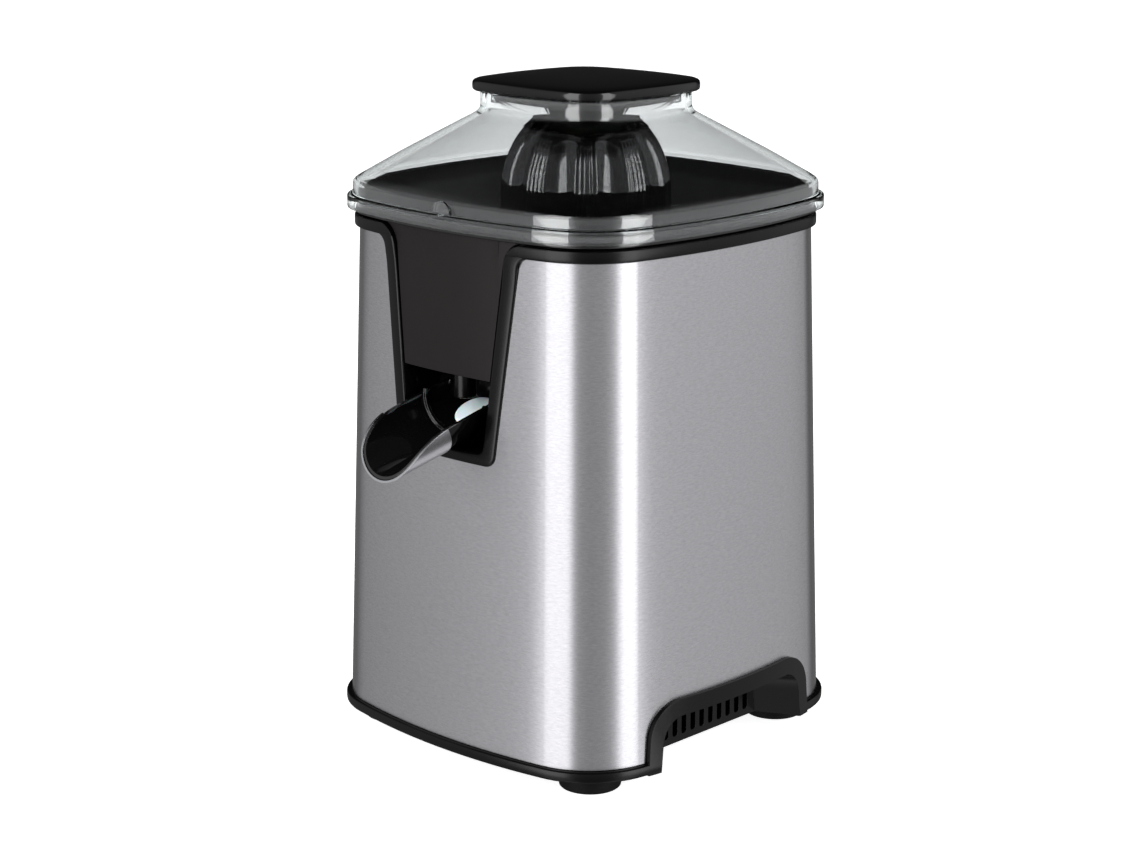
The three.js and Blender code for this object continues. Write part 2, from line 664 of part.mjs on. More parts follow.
// ---------------------------------------------------------------- bowl, strainer, reamer
function juiceBowl() {
  const bottom = BOWL_FLOOR - BOWL_WALL;
  const outside = planLoft([
    [77, bottom], [78.6, bottom + 2], [81.2, TRIM_TOP - 3], [81.2, TRIM_TOP + GAP],
    [BOWL_RIM_HALF - 0.6, TRIM_TOP + GAP], [BOWL_RIM_HALF, TRIM_TOP + 1.2], [BOWL_RIM_HALF, BOWL_SHOULDER],
    [BOWL_LIP_HALF, BOWL_SHOULDER], [BOWL_LIP_HALF, BOWL_LIP_TOP - 0.6], [BOWL_LIP_HALF - 0.5, BOWL_LIP_TOP],
  ]);
  const inside = planLoft([
    [72, BOWL_FLOOR], [75.5, BOWL_FLOOR + 3], [78.8, TRIM_TOP - 3], [83.2, TRIM_TOP + 5], [83.4, BOWL_LIP_TOP + 1],
  ]);
  const face = (offset, from, to) => planLoft([[housingHalf(from) + offset, from], [housingHalf(to) + offset, to]]);
  const plate = cut(face(0.2, APRON_BOTTOM, TRIM_TOP + 1), face(-2.3, APRON_BOTTOM - 1, TRIM_TOP + 2));
  const apronShape = prism(bayShape(FRAME_SIDE + 0.8, FRAME_SILL, 0, 11, TRIM_TOP + 0.6), 70, 110, FRONT);
  const apron = plate.intersect(apronShape).intersect(box([-60, -120, APRON_BOTTOM], [60, -60, TRIM_TOP + GAP]));
  const bridge = box([-30, -84.2, TRIM_TOP - 8], [30, -78, TRIM_TOP + 1]);
  const chimney = tube(12.8, 10.6, bottom, 213.5);
  const drain = rod(5 + GAP, bottom - 1, BOWL_FLOOR + 1, [0, NOZZLE_Y], 20);
  const bowl = cut(outside, inside, rod(10.6, bottom - 1, BOWL_FLOOR + 1));
  return cut(join(bowl, apron, bridge.intersect(face(0, 160, TRIM_TOP + 2)), chimney), drain);
}

function juiceNozzle() {
  const wall = rod(5, NOZZLE_BOTTOM, BOWL_FLOOR + 0.6, [0, NOZZLE_Y], 20);
  return cut(wall, rod(3.6, NOZZLE_BOTTOM - 1, BOWL_FLOOR + 2, [0, NOZZLE_Y], 20));
}

function strainer() {
  const profile = [
    [14, BOWL_FLOOR + GAP], [15.2, BOWL_FLOOR + GAP], [15.2, 200], [50, 200], [60.6, 214], [64, 214],
    [64, 215.4], [60, 215.4], [49.4, 201.3], [14, 201.3], [14, BOWL_FLOOR + GAP],
  ];
  const basket = turned(profile, [0, 0], 32);
  const slots = [];
  for (let i = 0; i < 16; i++) {
    slots.push(box([20, -1.2, 198], [46, 1.2, 203]).rotate([0, 0, (i + 0.5) * 22.5]));
  }
  return cut(basket, ...slots);
}

function reamerRadius(z) {
  if (z <= REAMER_DOME) return REAMER_RADIUS;
  const rise = (z - REAMER_DOME) / (REAMER_TOP - REAMER_DOME);
  return REAMER_RADIUS * Math.sqrt(Math.max(0, 1 - rise * rise));
}

function reamerOutline(z) {
  const around = REAMER_RIDGES * 6;
  const rise = THREE.MathUtils.clamp((REAMER_TOP - z) / 30, 0, 1);
  const flute = z < REAMER_BOTTOM + 4 ? 0 : 2.8 * rise;
  return Array.from({ length: around }, (_, i) => {
    const angle = RIDGE_ANGLE + (2 * Math.PI * i) / around;
    const dip = Math.pow(Math.abs(Math.sin(((angle - RIDGE_ANGLE) * REAMER_RIDGES) / 2)), 0.8);
    const radius = Math.max(0.6, reamerRadius(z) - flute * dip);
    return new THREE.Vector2(radius * Math.cos(angle), radius * Math.sin(angle));
  });
}

const hexagon = (flats) => arc(0, 0, flats / Math.sqrt(3), 0, (5 * Math.PI) / 3, 5);

function reamer() {
  const heights = [REAMER_BOTTOM, REAMER_BOTTOM + 2, REAMER_BOTTOM + 5, REAMER_DOME];
  for (let i = 1; i <= 7; i++) {
    heights.push(REAMER_DOME + (REAMER_TOP - REAMER_DOME) * Math.sin((i * Math.PI) / 16));
  }
  heights.push(REAMER_TOP);
  const outside = loft(heights.map((at) => ({ at, outline: reamerOutline(at) })));
  const hollow = turned(
    [[0, REAMER_BOTTOM - 1], [33, REAMER_BOTTOM - 1], [32.4, 232], [29, 246], [22, 256], [12, 263], [0, 265]],
    [0, 0],
    28,
  );
  const boss = rod(8, 217.4, 266, [0, 0], 20);
  const socket = prism(hexagon(7.4), 217, 243.6);
  return cut(join(cut(outside, hollow), boss), socket);
}

function buildBowl() {
  const group = addGroup("bowl");
  add(group, "juice_bowl", juiceBowl(), BLACK);
  add(group, "juice_nozzle", juiceNozzle(), GLOSS_BLACK);
  add(group, "strainer", strainer(), BRIGHT_STEEL);
  add(group, "reamer", reamer(), GLOSS_BLACK);
}

// ---------------------------------------------------------------- lid
function lidShell() {
  const outside = planLoft([
    [LID_SKIRT_HALF - 0.3, LID_SKIRT_BOTTOM], [LID_SKIRT_HALF, LID_SKIRT_BOTTOM + 0.5],
    [LID_SKIRT_HALF, LID_LEDGE - 0.6], [LID_SKIRT_HALF - 0.6, LID_LEDGE], [LID_BAND_HALF, LID_LEDGE + 0.2],
    [LID_BAND_HALF, LID_BAND_TOP - 0.6], [LID_BAND_HALF - 0.9, LID_BAND_TOP + 1],
    [LID_NECK_HALF + 1.9, LID_SLOPE_TOP - 0.8], [LID_NECK_HALF + 0.3, LID_SLOPE_TOP + 0.6],
    [LID_NECK_HALF, LID_SLOPE_TOP + 2.4], [LID_NECK_HALF, LID_NECK_TOP],
  ]);
  const inside = planLoft([
    [LID_SKIRT_HALF - 1.7, LID_SKIRT_BOTTOM - 1], [LID_SKIRT_HALF - 1.7, BOWL_SHOULDER + GAP],
    [LID_BAND_HALF - 1.7, BOWL_SHOULDER + GAP], [LID_BAND_HALF - 1.7, LID_BAND_TOP - 1.4],
    [LID_NECK_HALF + 1.1, LID_SLOPE_TOP - 2.7], [LID_NECK_HALF - LID_WALL, LID_SLOPE_TOP - 0.9],
    [LID_NECK_HALF - LID_WALL, LID_NECK_TOP + 1],
  ]);
  const tab = rod(6, -LID_BAND_HALF - 0.9, -LID_BAND_HALF + 1, [0, 0], 20)
    .rotate([90, 0, 0])
    .mirror([0, 1, 0])
    .translate([LID_TAB_X, 0, LID_LEDGE - 1.6]);
  const front = box([LID_TAB_X - 10, -95, LID_LEDGE - 0.3], [LID_TAB_X + 10, -80, LID_BAND_TOP]);
  return cut(join(outside, tab.intersect(front)), inside);
}

function lidCap() {
  const plate = planLoft([
    [CAP_HALF - 1.2, LID_NECK_TOP + GAP], [CAP_HALF, LID_NECK_TOP + 1.3], [CAP_HALF, CAP_TOP - 3.2],
    [CAP_HALF - 1.2, CAP_TOP - 1.9], [CAP_HALF - 12, CAP_TOP - 0.7], [CAP_HALF - 28, CAP_TOP],
  ]);
  const spigot = cut(
    planLoft([[SPIGOT_HALF - 0.4, SPIGOT_BOTTOM], [SPIGOT_HALF, SPIGOT_BOTTOM + 0.6], [SPIGOT_HALF, LID_NECK_TOP + 1]]),
    planLoft([[SPIGOT_HALF - 2.2, SPIGOT_BOTTOM - 1], [SPIGOT_HALF - 2.2, LID_NECK_TOP + 0.9]]),
  );
  return join(plate, spigot);
}

function buildLid() {
  const group = addGroup("lid");
  add(group, "lid_shell", lidShell(), CLEAR);
  add(group, "lid_cap", lidCap(), GLOSS_BLACK);
}

// ---------------------------------------------------------------- drive
// A spur gear about Z: straight-flanked teeth with room to run, turned so that a tooth points at an angle.
function gear({ teeth, module }, from, to, pointing) {
  const pitch = (teeth * module) / 2;
  const [tip, root] = [pitch + 0.75 * module, pitch - 1.1 * module];
  const step = (2 * Math.PI) / teeth;
  const outline = [];
  for (let i = 0; i < teeth; i++) {
    for (const [radius, width] of [[root, -0.27], [tip, -0.1], [tip, 0.1], [root, 0.27]]) {
      const angle = pointing + (i + width) * step;
      outline.push(new THREE.Vector2(radius * Math.cos(angle), radius * Math.sin(angle)));
    }
  }
  return prism(outline, from, to);
}

const at = (manifold, [x, y]) => manifold.translate([x, y, 0]);

function outputGear() {
  const wheel = gear(OUTPUT, 162, 169, LAYSHAFT_ANGLE);
  const hub = join(rod(7, 147, 158.5), rod(9, 158, 180.6, [0, 0], 24));
  const bore = join(prism(hexagon(SHAFT_FLATS + 0.5), 146, 161), rod(6.9, 160, 182, [0, 0], 24));
  return cut(join(wheel, hub), bore);
}

function layshaftGear() {
  const wheel = gear(WHEEL, 148, 154, MOTOR_ANGLE);
  const pinion = gear(PINION, 153.5, 172, LAYSHAFT_ANGLE + Math.PI + Math.PI / PINION.teeth);
  return at(cut(join(wheel, pinion), rod(3 + RUNNING_GAP, 147, 173)), LAYSHAFT);
}

function driveShaft() {
  const lower = join(prism(hexagon(SHAFT_FLATS), 142, 173), turned([[0, 139.6], [2.6, 139.6], [3.6, 142.2], [0, 142.2]], [0, 0], 16));
  const collar = rod(6.4, 172.5, 175);
  const journal = rod(SHAFT_RADIUS, 174, 217);
  const drive = prism(hexagon(7), 216, 243);
  return join(lower, collar, journal, drive);
}

class Helix extends THREE.Curve {
  constructor(radius, from, to, turns) {
    super();
    Object.assign(this, { radius, from, to, turns });
  }
  getPoint(t) {
    const angle = 2 * Math.PI * this.turns * t;
    const height = this.from + (this.to - this.from) * t;
    return new THREE.Vector3(this.radius * Math.cos(angle), this.radius * Math.sin(angle), height);
  }
}

const SPRING_BOTTOM = 160.8;

function returnSpring() {
  const section = new THREE.Shape(arc(0, 0, 0.45, 0, (8 * Math.PI) / 5, 4));
  const path = new Helix(5.8, SPRING_BOTTOM, 171.7, 4);
  return solid(new THREE.ExtrudeGeometry(section, { steps: 40, extrudePath: path }));
}

const BOX_OUTLINE = (wall) => [[0, 0, 40.5 + wall], [...LAYSHAFT, 27.5 + wall]];
const GEARBOX_LUGS = [
  polar([0, 0], 47.5, THREE.MathUtils.degToRad(-40)),
  polar([0, 0], 47.5, THREE.MathUtils.degToRad(220)),
  polar(LAYSHAFT, 34.5, THREE.MathUtils.degToRad(40)),
];
const MOTOR_BOLTS = [-1, 1].map((side) => [MOTOR[0] + side * 24.5, MOTOR[1]]);
const CORE_BOTTOM = 62;
const CORE_TOP = 107;

function gearboxHousing() {
  const shell = cut(
    prism(hull(BOX_OUTLINE(2.2)), GEARBOX_BOTTOM, GEARBOX_SPLIT),
    prism(hull(BOX_OUTLINE(0)), GEARBOX_BOTTOM + 2.6, GEARBOX_SPLIT + 1),
  );
  const boss = rod(9.6, GEARBOX_BOTTOM + 1, 155);
  const axleBoss = rod(5.5, GEARBOX_BOTTOM + 1, 147.6, LAYSHAFT);
  const lugs = GEARBOX_LUGS.map((centre) => rod(5.4, 168, GEARBOX_SPLIT, centre, 16));
  const legs = MOTOR_BOLTS.map((centre) => rod(5, 112, GEARBOX_BOTTOM + 1, centre, 16));
  const switchPlate = box([5.4, -20, 119], [7.6, 3, GEARBOX_BOTTOM + 1]);
  return cut(
    join(shell, boss, axleBoss, ...lugs, ...legs, switchPlate),
    rod(5.3, GEARBOX_BOTTOM - 1, 146.6),
    rod(7 + RUNNING_GAP, 146.5, 156),
    rod(3 + RUNNING_GAP, 143.6, 148, LAYSHAFT),
    rod(7, GEARBOX_BOTTOM - 1, GEARBOX_BOTTOM + 3, MOTOR),
    ...GEARBOX_LUGS.map((centre) => rod(2, 167, GEARBOX_SPLIT + 1, centre, 12)),
    ...MOTOR_BOLTS.map((centre) => rod(1.9, 111, 126, centre, 12)),
    crossRod(1.3, 5, 8, [-16, 124], 10),
    crossRod(1.3, 5, 8, [-2, 124], 10),
  );
}

function gearboxCover() {
  const plate = prism(hull(BOX_OUTLINE(2.2)), GEARBOX_SPLIT + GAP, GEARBOX_TOP);
  const lugs = GEARBOX_LUGS.map((centre) => rod(5.4, GEARBOX_SPLIT + GAP, GEARBOX_TOP, centre, 16));
  const axleBoss = rod(5.5, 172.6, GEARBOX_SPLIT + 1, LAYSHAFT, 20);
  return cut(
    join(plate, ...lugs, rod(11.6, 174, GEARBOX_TOP, [0, 0], 24), axleBoss),
    rod(9 + RUNNING_GAP, 173, GEARBOX_TOP + 1, [0, 0], 24),
    rod(3 + RUNNING_GAP, 172, GEARBOX_TOP + 1, LAYSHAFT),
    ...GEARBOX_LUGS.map((centre) => rod(2, 177, GEARBOX_TOP + 1, centre, 12)),
  );
}

function motorDeck() {
  const half = TRIM_INNER_HALF + 1.3;
  let deck = planLoft([[half, DECK_BOTTOM], [half, DECK_TOP]]);
  deck = cut(deck, box([-34, -100, DECK_BOTTOM - 1], [34, BAY_BACK + 2, DECK_TOP + 1]), rod(7.8, 180, 190));
  for (const [, sx, sy] of CORNERS) {
    const post = [sx * POST_SPACING, sy * POST_SPACING];
    deck = cut(join(deck, rod(5, 5.3, DECK_BOTTOM + 1, post, 16)), rod(1.9, 4, 30, post, 12));
  }
  for (const centre of GEARBOX_LUGS) {
    deck = cut(join(deck, rod(5, GEARBOX_TOP + GAP, DECK_BOTTOM + 1, centre, 16)), rod(1.9, 180, 190, centre, 12));
  }
  return deck;
}

function motorCore() {
  const [x, y] = MOTOR;
  const block = box([x - 28, y - 64, CORE_BOTTOM], [x + 28, y + 26, CORE_TOP]);
  const window = box([x - 16, y - 44, CORE_BOTTOM - 1], [x + 16, y - 27, CORE_TOP + 1]);
  const sides = [-1, 1].map((side) => {
    const xs = [x + side * 16, x + side * 31].sort((a, b) => a - b);
    return box([xs[0], y - 65, CORE_BOTTOM - 1], [xs[1], y - 60, CORE_TOP + 1]);
  });
  return cut(
    block,
    window,
    ...sides,
    rod(20.6, CORE_BOTTOM - 1, CORE_TOP + 1, MOTOR, 32),
    ...MOTOR_BOLTS.map((centre) => rod(1.9, CORE_BOTTOM - 1, CORE_TOP + 1, centre, 12)),
  );
}

function motorCoil() {
  const [x, y] = MOTOR;
  const block = rounded([
    [y - 75, CORE_BOTTOM - 9, 5], [y - 33.4, CORE_BOTTOM - 9, 5],
    [y - 33.4, CORE_TOP + 9, 5], [y - 75, CORE_TOP + 9, 5],
  ], 3);
  const leg = box([x - 20, y - 64.4, CORE_BOTTOM - 0.4], [x + 20, y - 43.6, CORE_TOP + 0.4]);
  return cut(prism(block, x - 13, x + 13, SIDE), leg);
}

function motorRotor() {
  return turned(
    [
      [0, 27], [2.5, 27], [2.5, CORE_BOTTOM - 0.2], [19.9, CORE_BOTTOM - 0.2],
      [19.9, CORE_TOP + 0.2], [2.5, CORE_TOP + 0.2], [2.5, 157], [0, 157],
    ],
    MOTOR,
    32,
  );
}

function motorBracket(from, direction) {
  const [x, y] = MOTOR;
  const zs = [from, from + direction * 4].sort((a, b) => a - b);
  const bar = prism(
    rounded([[x - 29, y - 9, 4], [x + 29, y - 9, 4], [x + 29, y + 9, 4], [x - 29, y + 9, 4]], 2),
    zs[0],
    zs[1],
  );
  const bossEnds = [from + direction * 1, from + direction * 10].sort((a, b) => a - b);
  const boss = rod(8.5, bossEnds[0], bossEnds[1], MOTOR);
  const [low, high] = [from - 12, from + 12];
  return cut(
    join(bar, boss),
    rod(2.5 + RUNNING_GAP, low, high, MOTOR),
    ...MOTOR_BOLTS.map((centre) => rod(1.9, low, high, centre, 12)),
  );
}

function motorFan() {
  const hub = rod(6, 31, 47);
  const disc = rod(27, 45, 47, [0, 0], 32);
  const blades = [];
  for (let i = 0; i < 9; i++) {
    blades.push(box([5, -0.8, 33], [26, 0.8, 45.5]).rotate([0, 0, i * 40]));
  }
  return at(cut(join(hub, disc, ...blades), rod(2.8, 30, 48, [0, 0], 16)), MOTOR);
}

function motorPinion() {
  const teeth = gear(MOTOR_PINION, 147.6, 155, MOTOR_ANGLE + Math.PI + Math.PI / MOTOR_PINION.teeth);
  return at(cut(teeth, rod(2.8, 147, 156, [0, 0], 16)), MOTOR);
}

function shaftBush() {
  return turned(
    [[5.3, 182], [7.5, 182], [7.5, DECK_TOP + GAP], [9.4, DECK_TOP + GAP], [9.4, 189], [5.3, 189], [5.3, 182]],
    [0, 0],
    24,
  );
}

function shaftSeal() {
  return turned(
    [[5.3, 189.3], [9.2, 189.3], [9.2, 190.6], [7.2, 191], [8.4, 194], [5.3, 193.2], [5.3, 189.3]],
    [0, 0],
    24,
  );
}

function switchBody() {
  const body = box([-5, -22, 117], [5, 5.6, 133]);
  return cut(body, rod(2.3, 127.4, 134, [0, 0], 14));
}

function buildDrive() {
  const group = addGroup("drive");
  add(group, "motor_deck", motorDeck(), HOUSING_PLASTIC);
  add(group, "gearbox_housing", gearboxHousing(), HOUSING_PLASTIC);
  add(group, "gearbox_cover", gearboxCover(), HOUSING_PLASTIC);
  GEARBOX_LUGS.forEach((centre, i) =>
    add(group, "gearbox_screw_" + (i + 1), screw(centre, 165, 3.4, 1.6, 21), BRIGHT_STEEL),
  );
  add(group, "output_gear", outputGear(), GEAR_PLASTIC);
  add(group, "drive_shaft", driveShaft(), BRIGHT_STEEL);
  add(group, "return_spring", returnSpring(), BRIGHT_STEEL);
  add(group, "shaft_bush", shaftBush(), BRONZE);
  add(group, "shaft_seal", shaftSeal(), RUBBER);
  add(group, "layshaft_gear", layshaftGear(), GEAR_PLASTIC);
  add(group, "layshaft_axle", rod(3, 143.9, GEARBOX_TOP - 0.2, LAYSHAFT), BRIGHT_STEEL);
  add(group, "switch_body", switchBody(), GLOSS_BLACK);
  add(group, "switch_plunger", rod(2, 130.5, 139.2, [0, 0], 14), RUBBER);
}

function buildMotor() {
  const group = addGroup("motor");
  add(group, "motor_core", motorCore(), IRON);
  add(group, "motor_coil", motorCoil(), COPPER);
  add(group, "motor_rotor", motorRotor(), IRON);
  add(group, "motor_bracket_upper", motorBracket(CORE_TOP + 0.4, 1), SATIN_SILVER);
  add(group, "motor_bracket_lower", motorBracket(CORE_BOTTOM - 0.4, -1), SATIN_SILVER);
  add(group, "motor_fan", motorFan(), GEAR_PLASTIC);
  add(group, "motor_pinion", motorPinion(), BRONZE);
  MOTOR_BOLTS.forEach((centre, i) =>
    add(group, "motor_bolt_" + (i + 1), screw(centre, 54.8, 3.2, 1.6, 69), BRIGHT_STEEL),
  );
}

buildBase();
buildHousing();
buildSpout();
buildBowl();
buildLid();
buildDrive();
buildMotor();

export default juicer;
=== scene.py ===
# Looks of the citrus press juicer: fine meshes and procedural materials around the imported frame.
import json
import math

import bmesh
import bpy
from mathutils import Matrix, Vector

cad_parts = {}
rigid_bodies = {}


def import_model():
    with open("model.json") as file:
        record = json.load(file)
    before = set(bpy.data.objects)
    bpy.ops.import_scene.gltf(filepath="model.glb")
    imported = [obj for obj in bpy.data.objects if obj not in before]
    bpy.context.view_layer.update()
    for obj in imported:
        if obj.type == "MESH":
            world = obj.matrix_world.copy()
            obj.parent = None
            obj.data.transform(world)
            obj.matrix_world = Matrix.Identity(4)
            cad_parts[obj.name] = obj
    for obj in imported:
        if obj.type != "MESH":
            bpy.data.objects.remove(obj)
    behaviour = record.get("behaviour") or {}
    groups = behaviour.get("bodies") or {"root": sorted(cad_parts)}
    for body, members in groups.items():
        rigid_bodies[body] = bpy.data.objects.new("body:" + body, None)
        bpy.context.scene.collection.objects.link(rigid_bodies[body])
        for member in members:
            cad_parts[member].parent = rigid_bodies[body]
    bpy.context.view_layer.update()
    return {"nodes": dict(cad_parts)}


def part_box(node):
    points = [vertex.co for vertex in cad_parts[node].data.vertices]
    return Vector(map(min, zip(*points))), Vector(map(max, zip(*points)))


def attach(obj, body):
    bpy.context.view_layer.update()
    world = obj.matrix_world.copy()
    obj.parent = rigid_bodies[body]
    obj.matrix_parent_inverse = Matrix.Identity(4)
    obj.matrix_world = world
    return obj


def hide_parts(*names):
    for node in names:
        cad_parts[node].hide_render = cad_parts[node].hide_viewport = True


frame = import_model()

scene = bpy.context.scene
scene.view_settings.view_transform = "Standard"
scene.view_settings.look = "None"

# ------------------------------------------------------------------ the body's frame
# Shapes are written in millimetres from the housing's lower edge, on the body's own axis.
low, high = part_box("steel_housing")
ORIGIN = Vector((0, (low.y + high.y) / 2, low.z - 0.0003))
FOOT_BOTTOM = -ORIGIN.z * 1000


def world(x, y, z):
    return (x * 0.001 + ORIGIN.x, y * 0.001 + ORIGIN.y, z * 0.001 + ORIGIN.z)


# ------------------------------------------------------------------ dimensions
BOTTOM_HALF, TOP_HALF, HEIGHT = 92.0, 85.5, 217.0
BOW, CORNER = 297.0, 36.8
STEEL = 1.2
BASE_HALF = 94.2
RING_BOTTOM = -5.1
FLOOR = -1.8
FRAME_BOTTOM, FRAME_BOTTOM_HALF, FRAME_SPLAY = 126.4, 29.3, 0.1216
FRAME_SIDE, FRAME_SILL = 6.8, 5.2
APRON_BOTTOM = 163.3
TRIM_HALF, TRIM_BOTTOM, TRIM_TOP = 87.4, 217.3, 223.0
RIM_HALF, LIP_HALF, SHOULDER, LIP_TOP = 87.2, 85.8, 229.0, 235.6
TILT = math.radians(13.4)
SPOUT_REAR = (-56.0, 157.4)
SPOUT_LENGTH, SPOUT_STRAIGHT = 75.5, 44.2
SPOUT_HALF, SPOUT_DEPTH = 21.1, 17.8
PIVOT = (-62.0, 152.0)
SEAL = (-70.0, 145.2)
OUTLET_Y, DRAIN_RADIUS, OUTLET_BORE = -75.3, 5.3, 3.6
FOOT_PLACE, SCREW_PLACE = 62.5, 49.0
GLAND_HEIGHT, GLAND_HOLE = 16.0, 6.2
GRIP_HALF, GRIP_TOP, GRIP_BACK, GRIP_BACK_HALF = 47.6, 18.3, 72.0, 36.0
WELL_WALL, WELL_MOUTH, PROUD_TOP = 1.8, 97.2, 40.0
GRIP_SLOTS, SLOT_PITCH = 11, 6.0


def housing_half(z):
    return BOTTOM_HALF + (TOP_HALF - BOTTOM_HALF) * z / HEIGHT


def frame_half(z):
    return FRAME_BOTTOM_HALF + FRAME_SPLAY * (z - FRAME_BOTTOM)


# ------------------------------------------------------------------ outlines
def arc(cx, cy, radius, start, end, steps):
    return [
        (cx + radius * math.cos(start + (end - start) * i / steps),
         cy + radius * math.sin(start + (end - start) * i / steps))
        for i in range(steps + 1)
    ]


def plan_terms(half):
    """The bow's and corner's radii, the bow's setback, the corner's place and the bow's half angle."""
    scale = half / BOTTOM_HALF
    bow, corner = BOW * scale, CORNER * scale
    shift = bow - half
    reach = bow - corner
    centre = (-shift + math.sqrt(2 * reach * reach - shift * shift)) / 2
    lean = math.atan2(centre, centre + shift)
    return bow, corner, shift, centre, lean


def plan(half, side_steps=14, corner_steps=16):
    """The body's plan: bowed sides and round corners, scaled to a half width."""
    bow, corner, shift, centre, lean = plan_terms(half)
    quarter = arc(-shift, 0, bow, -lean, lean, side_steps)[:-1]
    quarter += arc(centre, centre, corner, lean, math.pi / 2 - lean, corner_steps)[:-1]
    outline = []
    for side in range(4):
        c, s = math.cos(side * math.pi / 2), math.sin(side * math.pi / 2)
        outline += [(x * c - y * s, x * s + y * c) for x, y in quarter]
    return outline


def face_distance(x, half):
    """How far the front surface stands from the axis at a place across it."""
    bow, corner, shift, centre, lean = plan_terms(half)
    if abs(x) <= bow * math.sin(lean):
        return -shift + math.sqrt(bow * bow - x * x)
    return centre + math.sqrt(max(0.0, corner * corner - (abs(x) - centre) ** 2))


def rounded(corners, steps=8):
    """A polygon whose corners (x, y, radius) are rounded, convex or not."""
    outline = []
    count = len(corners)
    for i, (x, y, radius) in enumerate(corners):
        if not radius:
            outline.append((x, y))
            continue
        here = Vector((x, y))
        back = (Vector(corners[i - 1][:2]) - here).normalized()
        onward = (Vector(corners[(i + 1) % count][:2]) - here).normalized()
        half = math.acos(max(-1.0, min(1.0, back.dot(onward)))) / 2
        start = here + back * (radius / math.tan(half))
        end = here + onward * (radius / math.tan(half))
        middle = here + (back + onward).normalized() * (radius / math.sin(half))
        first = math.atan2(start.y - middle.y, start.x - middle.x)
        last = math.atan2(end.y - middle.y, end.x - middle.x)
        sweep = (last - first + math.pi) % (2 * math.pi) - math.pi
        outline += arc(middle.x, middle.y, radius, first, first + sweep, steps)
    return outline


def rounded_box(x0, y0, x1, y1, radius, steps):
    return rounded([(x0, y0, radius), (x1, y0, radius), (x1, y1, radius), (x0, y1, radius)], steps)


def bay_shape(inset, sill, corner, flare, top=TRIM_TOP + 0.3, steps=8):
    """The bay from the front: narrow below, flaring at the top into a strip that runs past both sides."""
    bottom = FRAME_BOTTOM + sill
    narrow = frame_half(bottom) - inset
    wide = frame_half(TRIM_TOP) - inset
    beyond, above = wide + 34, top + 10
    return rounded([
        (-narrow, bottom, corner), (narrow, bottom, corner), (wide, top, flare),
        (beyond, top, 0), (beyond, above, 0), (-beyond, above, 0), (-beyond, top, 0),
        (-wide, top, flare),
    ], steps)


def grip_shape(half, top, bottom, corner, steps=8):
    """A side grip's arch: open at the bottom, a little narrower at the top."""
    return rounded([
        (-half - 1.5, bottom, 0), (half + 1.5, bottom, 0),
        (half - 1, top, corner), (-half + 1, top, corner),
    ], steps)


# ------------------------------------------------------------------ meshes
def build(name, verts, faces, local=None):
    mesh = bpy.data.meshes.new(name)
    if local is not None:
        verts = [tuple(local @ Vector(v)) for v in verts]
    mesh.from_pydata([world(*v) for v in verts], [], faces)
    mesh.validate()
    piece = bpy.data.objects.new(name, mesh)
    scene.collection.objects.link(piece)
    bm = bmesh.new()
    bm.from_mesh(mesh)
    bmesh.ops.recalc_face_normals(bm, faces=bm.faces)
    bm.to_mesh(mesh)
    bm.free()
    return piece


# FRONT stands an outline up facing forwards, and SIDE stands it up facing right.
FRONT = Matrix(((1, 0, 0, 0), (0, 0, -1, 0), (0, 1, 0, 0), (0, 0, 0, 1)))
SIDE = Matrix(((0, 0, 1, 0), (1, 0, 0, 0), (0, 1, 0, 0), (0, 0, 0, 1)))


def loft(name, levels, local=None):
    """A closed skin through (height, outline) levels that all have the same number of points."""
    count = len(levels[0][1])
    verts, faces = [], []
    for height, outline in levels:
        verts += [(x, y, height) for x, y in outline]
    for level in range(len(levels) - 1):
        for i in range(count):
            a, b = level * count + i, level * count + (i + 1) % count
            faces.append((a, b, b + count, a + count))
    faces.append(tuple(reversed(range(count))))
    faces.append(tuple(range((len(levels) - 1) * count, len(levels) * count)))
    return build(name, verts, faces, local)


def plan_loft(name, steps):
    return loft(name, [(z, plan(half)) for half, z in steps])


def prism(name, outline, start, end, local=None):
    return loft(name, [(start, outline), (end, outline)], local)


def turned(name, profile, centre=(0, 0), segments=72, closed=False):
    """A solid turned from (radius, height) pairs that start and end on the axis, or close on themselves."""
    verts, faces = [], []
    cx, cy = centre
    rows = []
    for radius, height in profile:
        if radius < 1e-6:
            rows.append([len(verts)] * segments)
            verts.append((cx, cy, height))
            continue
        rows.append([len(verts) + i for i in range(segments)])
        for i in range(segments):
            angle = 2 * math.pi * i / segments
            verts.append((cx + radius * math.cos(angle), cy + radius * math.sin(angle), height))
    pairs = list(zip(rows, rows[1:]))
    if closed:
        pairs.append((rows[-1], rows[0]))
    for lower, upper in pairs:
        for i in range(segments):
            j = (i + 1) % segments
            ring = [lower[i], lower[j], upper[j], upper[i]]
            face = [v for k, v in enumerate(ring) if v not in ring[:k]]
            if len(face) > 2:
                faces.append(tuple(face))
    return build(name, verts, faces)


def rod(name, radius, start, end, centre=(0, 0), segments=48):
    return turned(name, [(0, start), (radius, start), (radius, end), (0, end)], centre, segments)


def block(name, lo, hi):
    (x0, y0, z0), (x1, y1, z1) = lo, hi
    outline = [(x0, y0), (x1, y0), (x1, y1), (x0, y1)]
    return prism(name, outline, z0, z1)


def cross_rod(name, radius, start, end, centre, segments=40):
    y, z = centre
    outline = arc(y, z, radius, 0, 2 * math.pi, segments)[:-1]
    return prism(name, outline, start, end, SIDE)


def apply_modifiers(piece):
    graph = bpy.context.evaluated_depsgraph_get()
    graph.update()
    mesh = bpy.data.meshes.new_from_object(piece.evaluated_get(graph))
    piece.modifiers.clear()
    old = piece.data
    piece.data = mesh
    bpy.data.meshes.remove(old)
    mesh.name = piece.name
    return piece


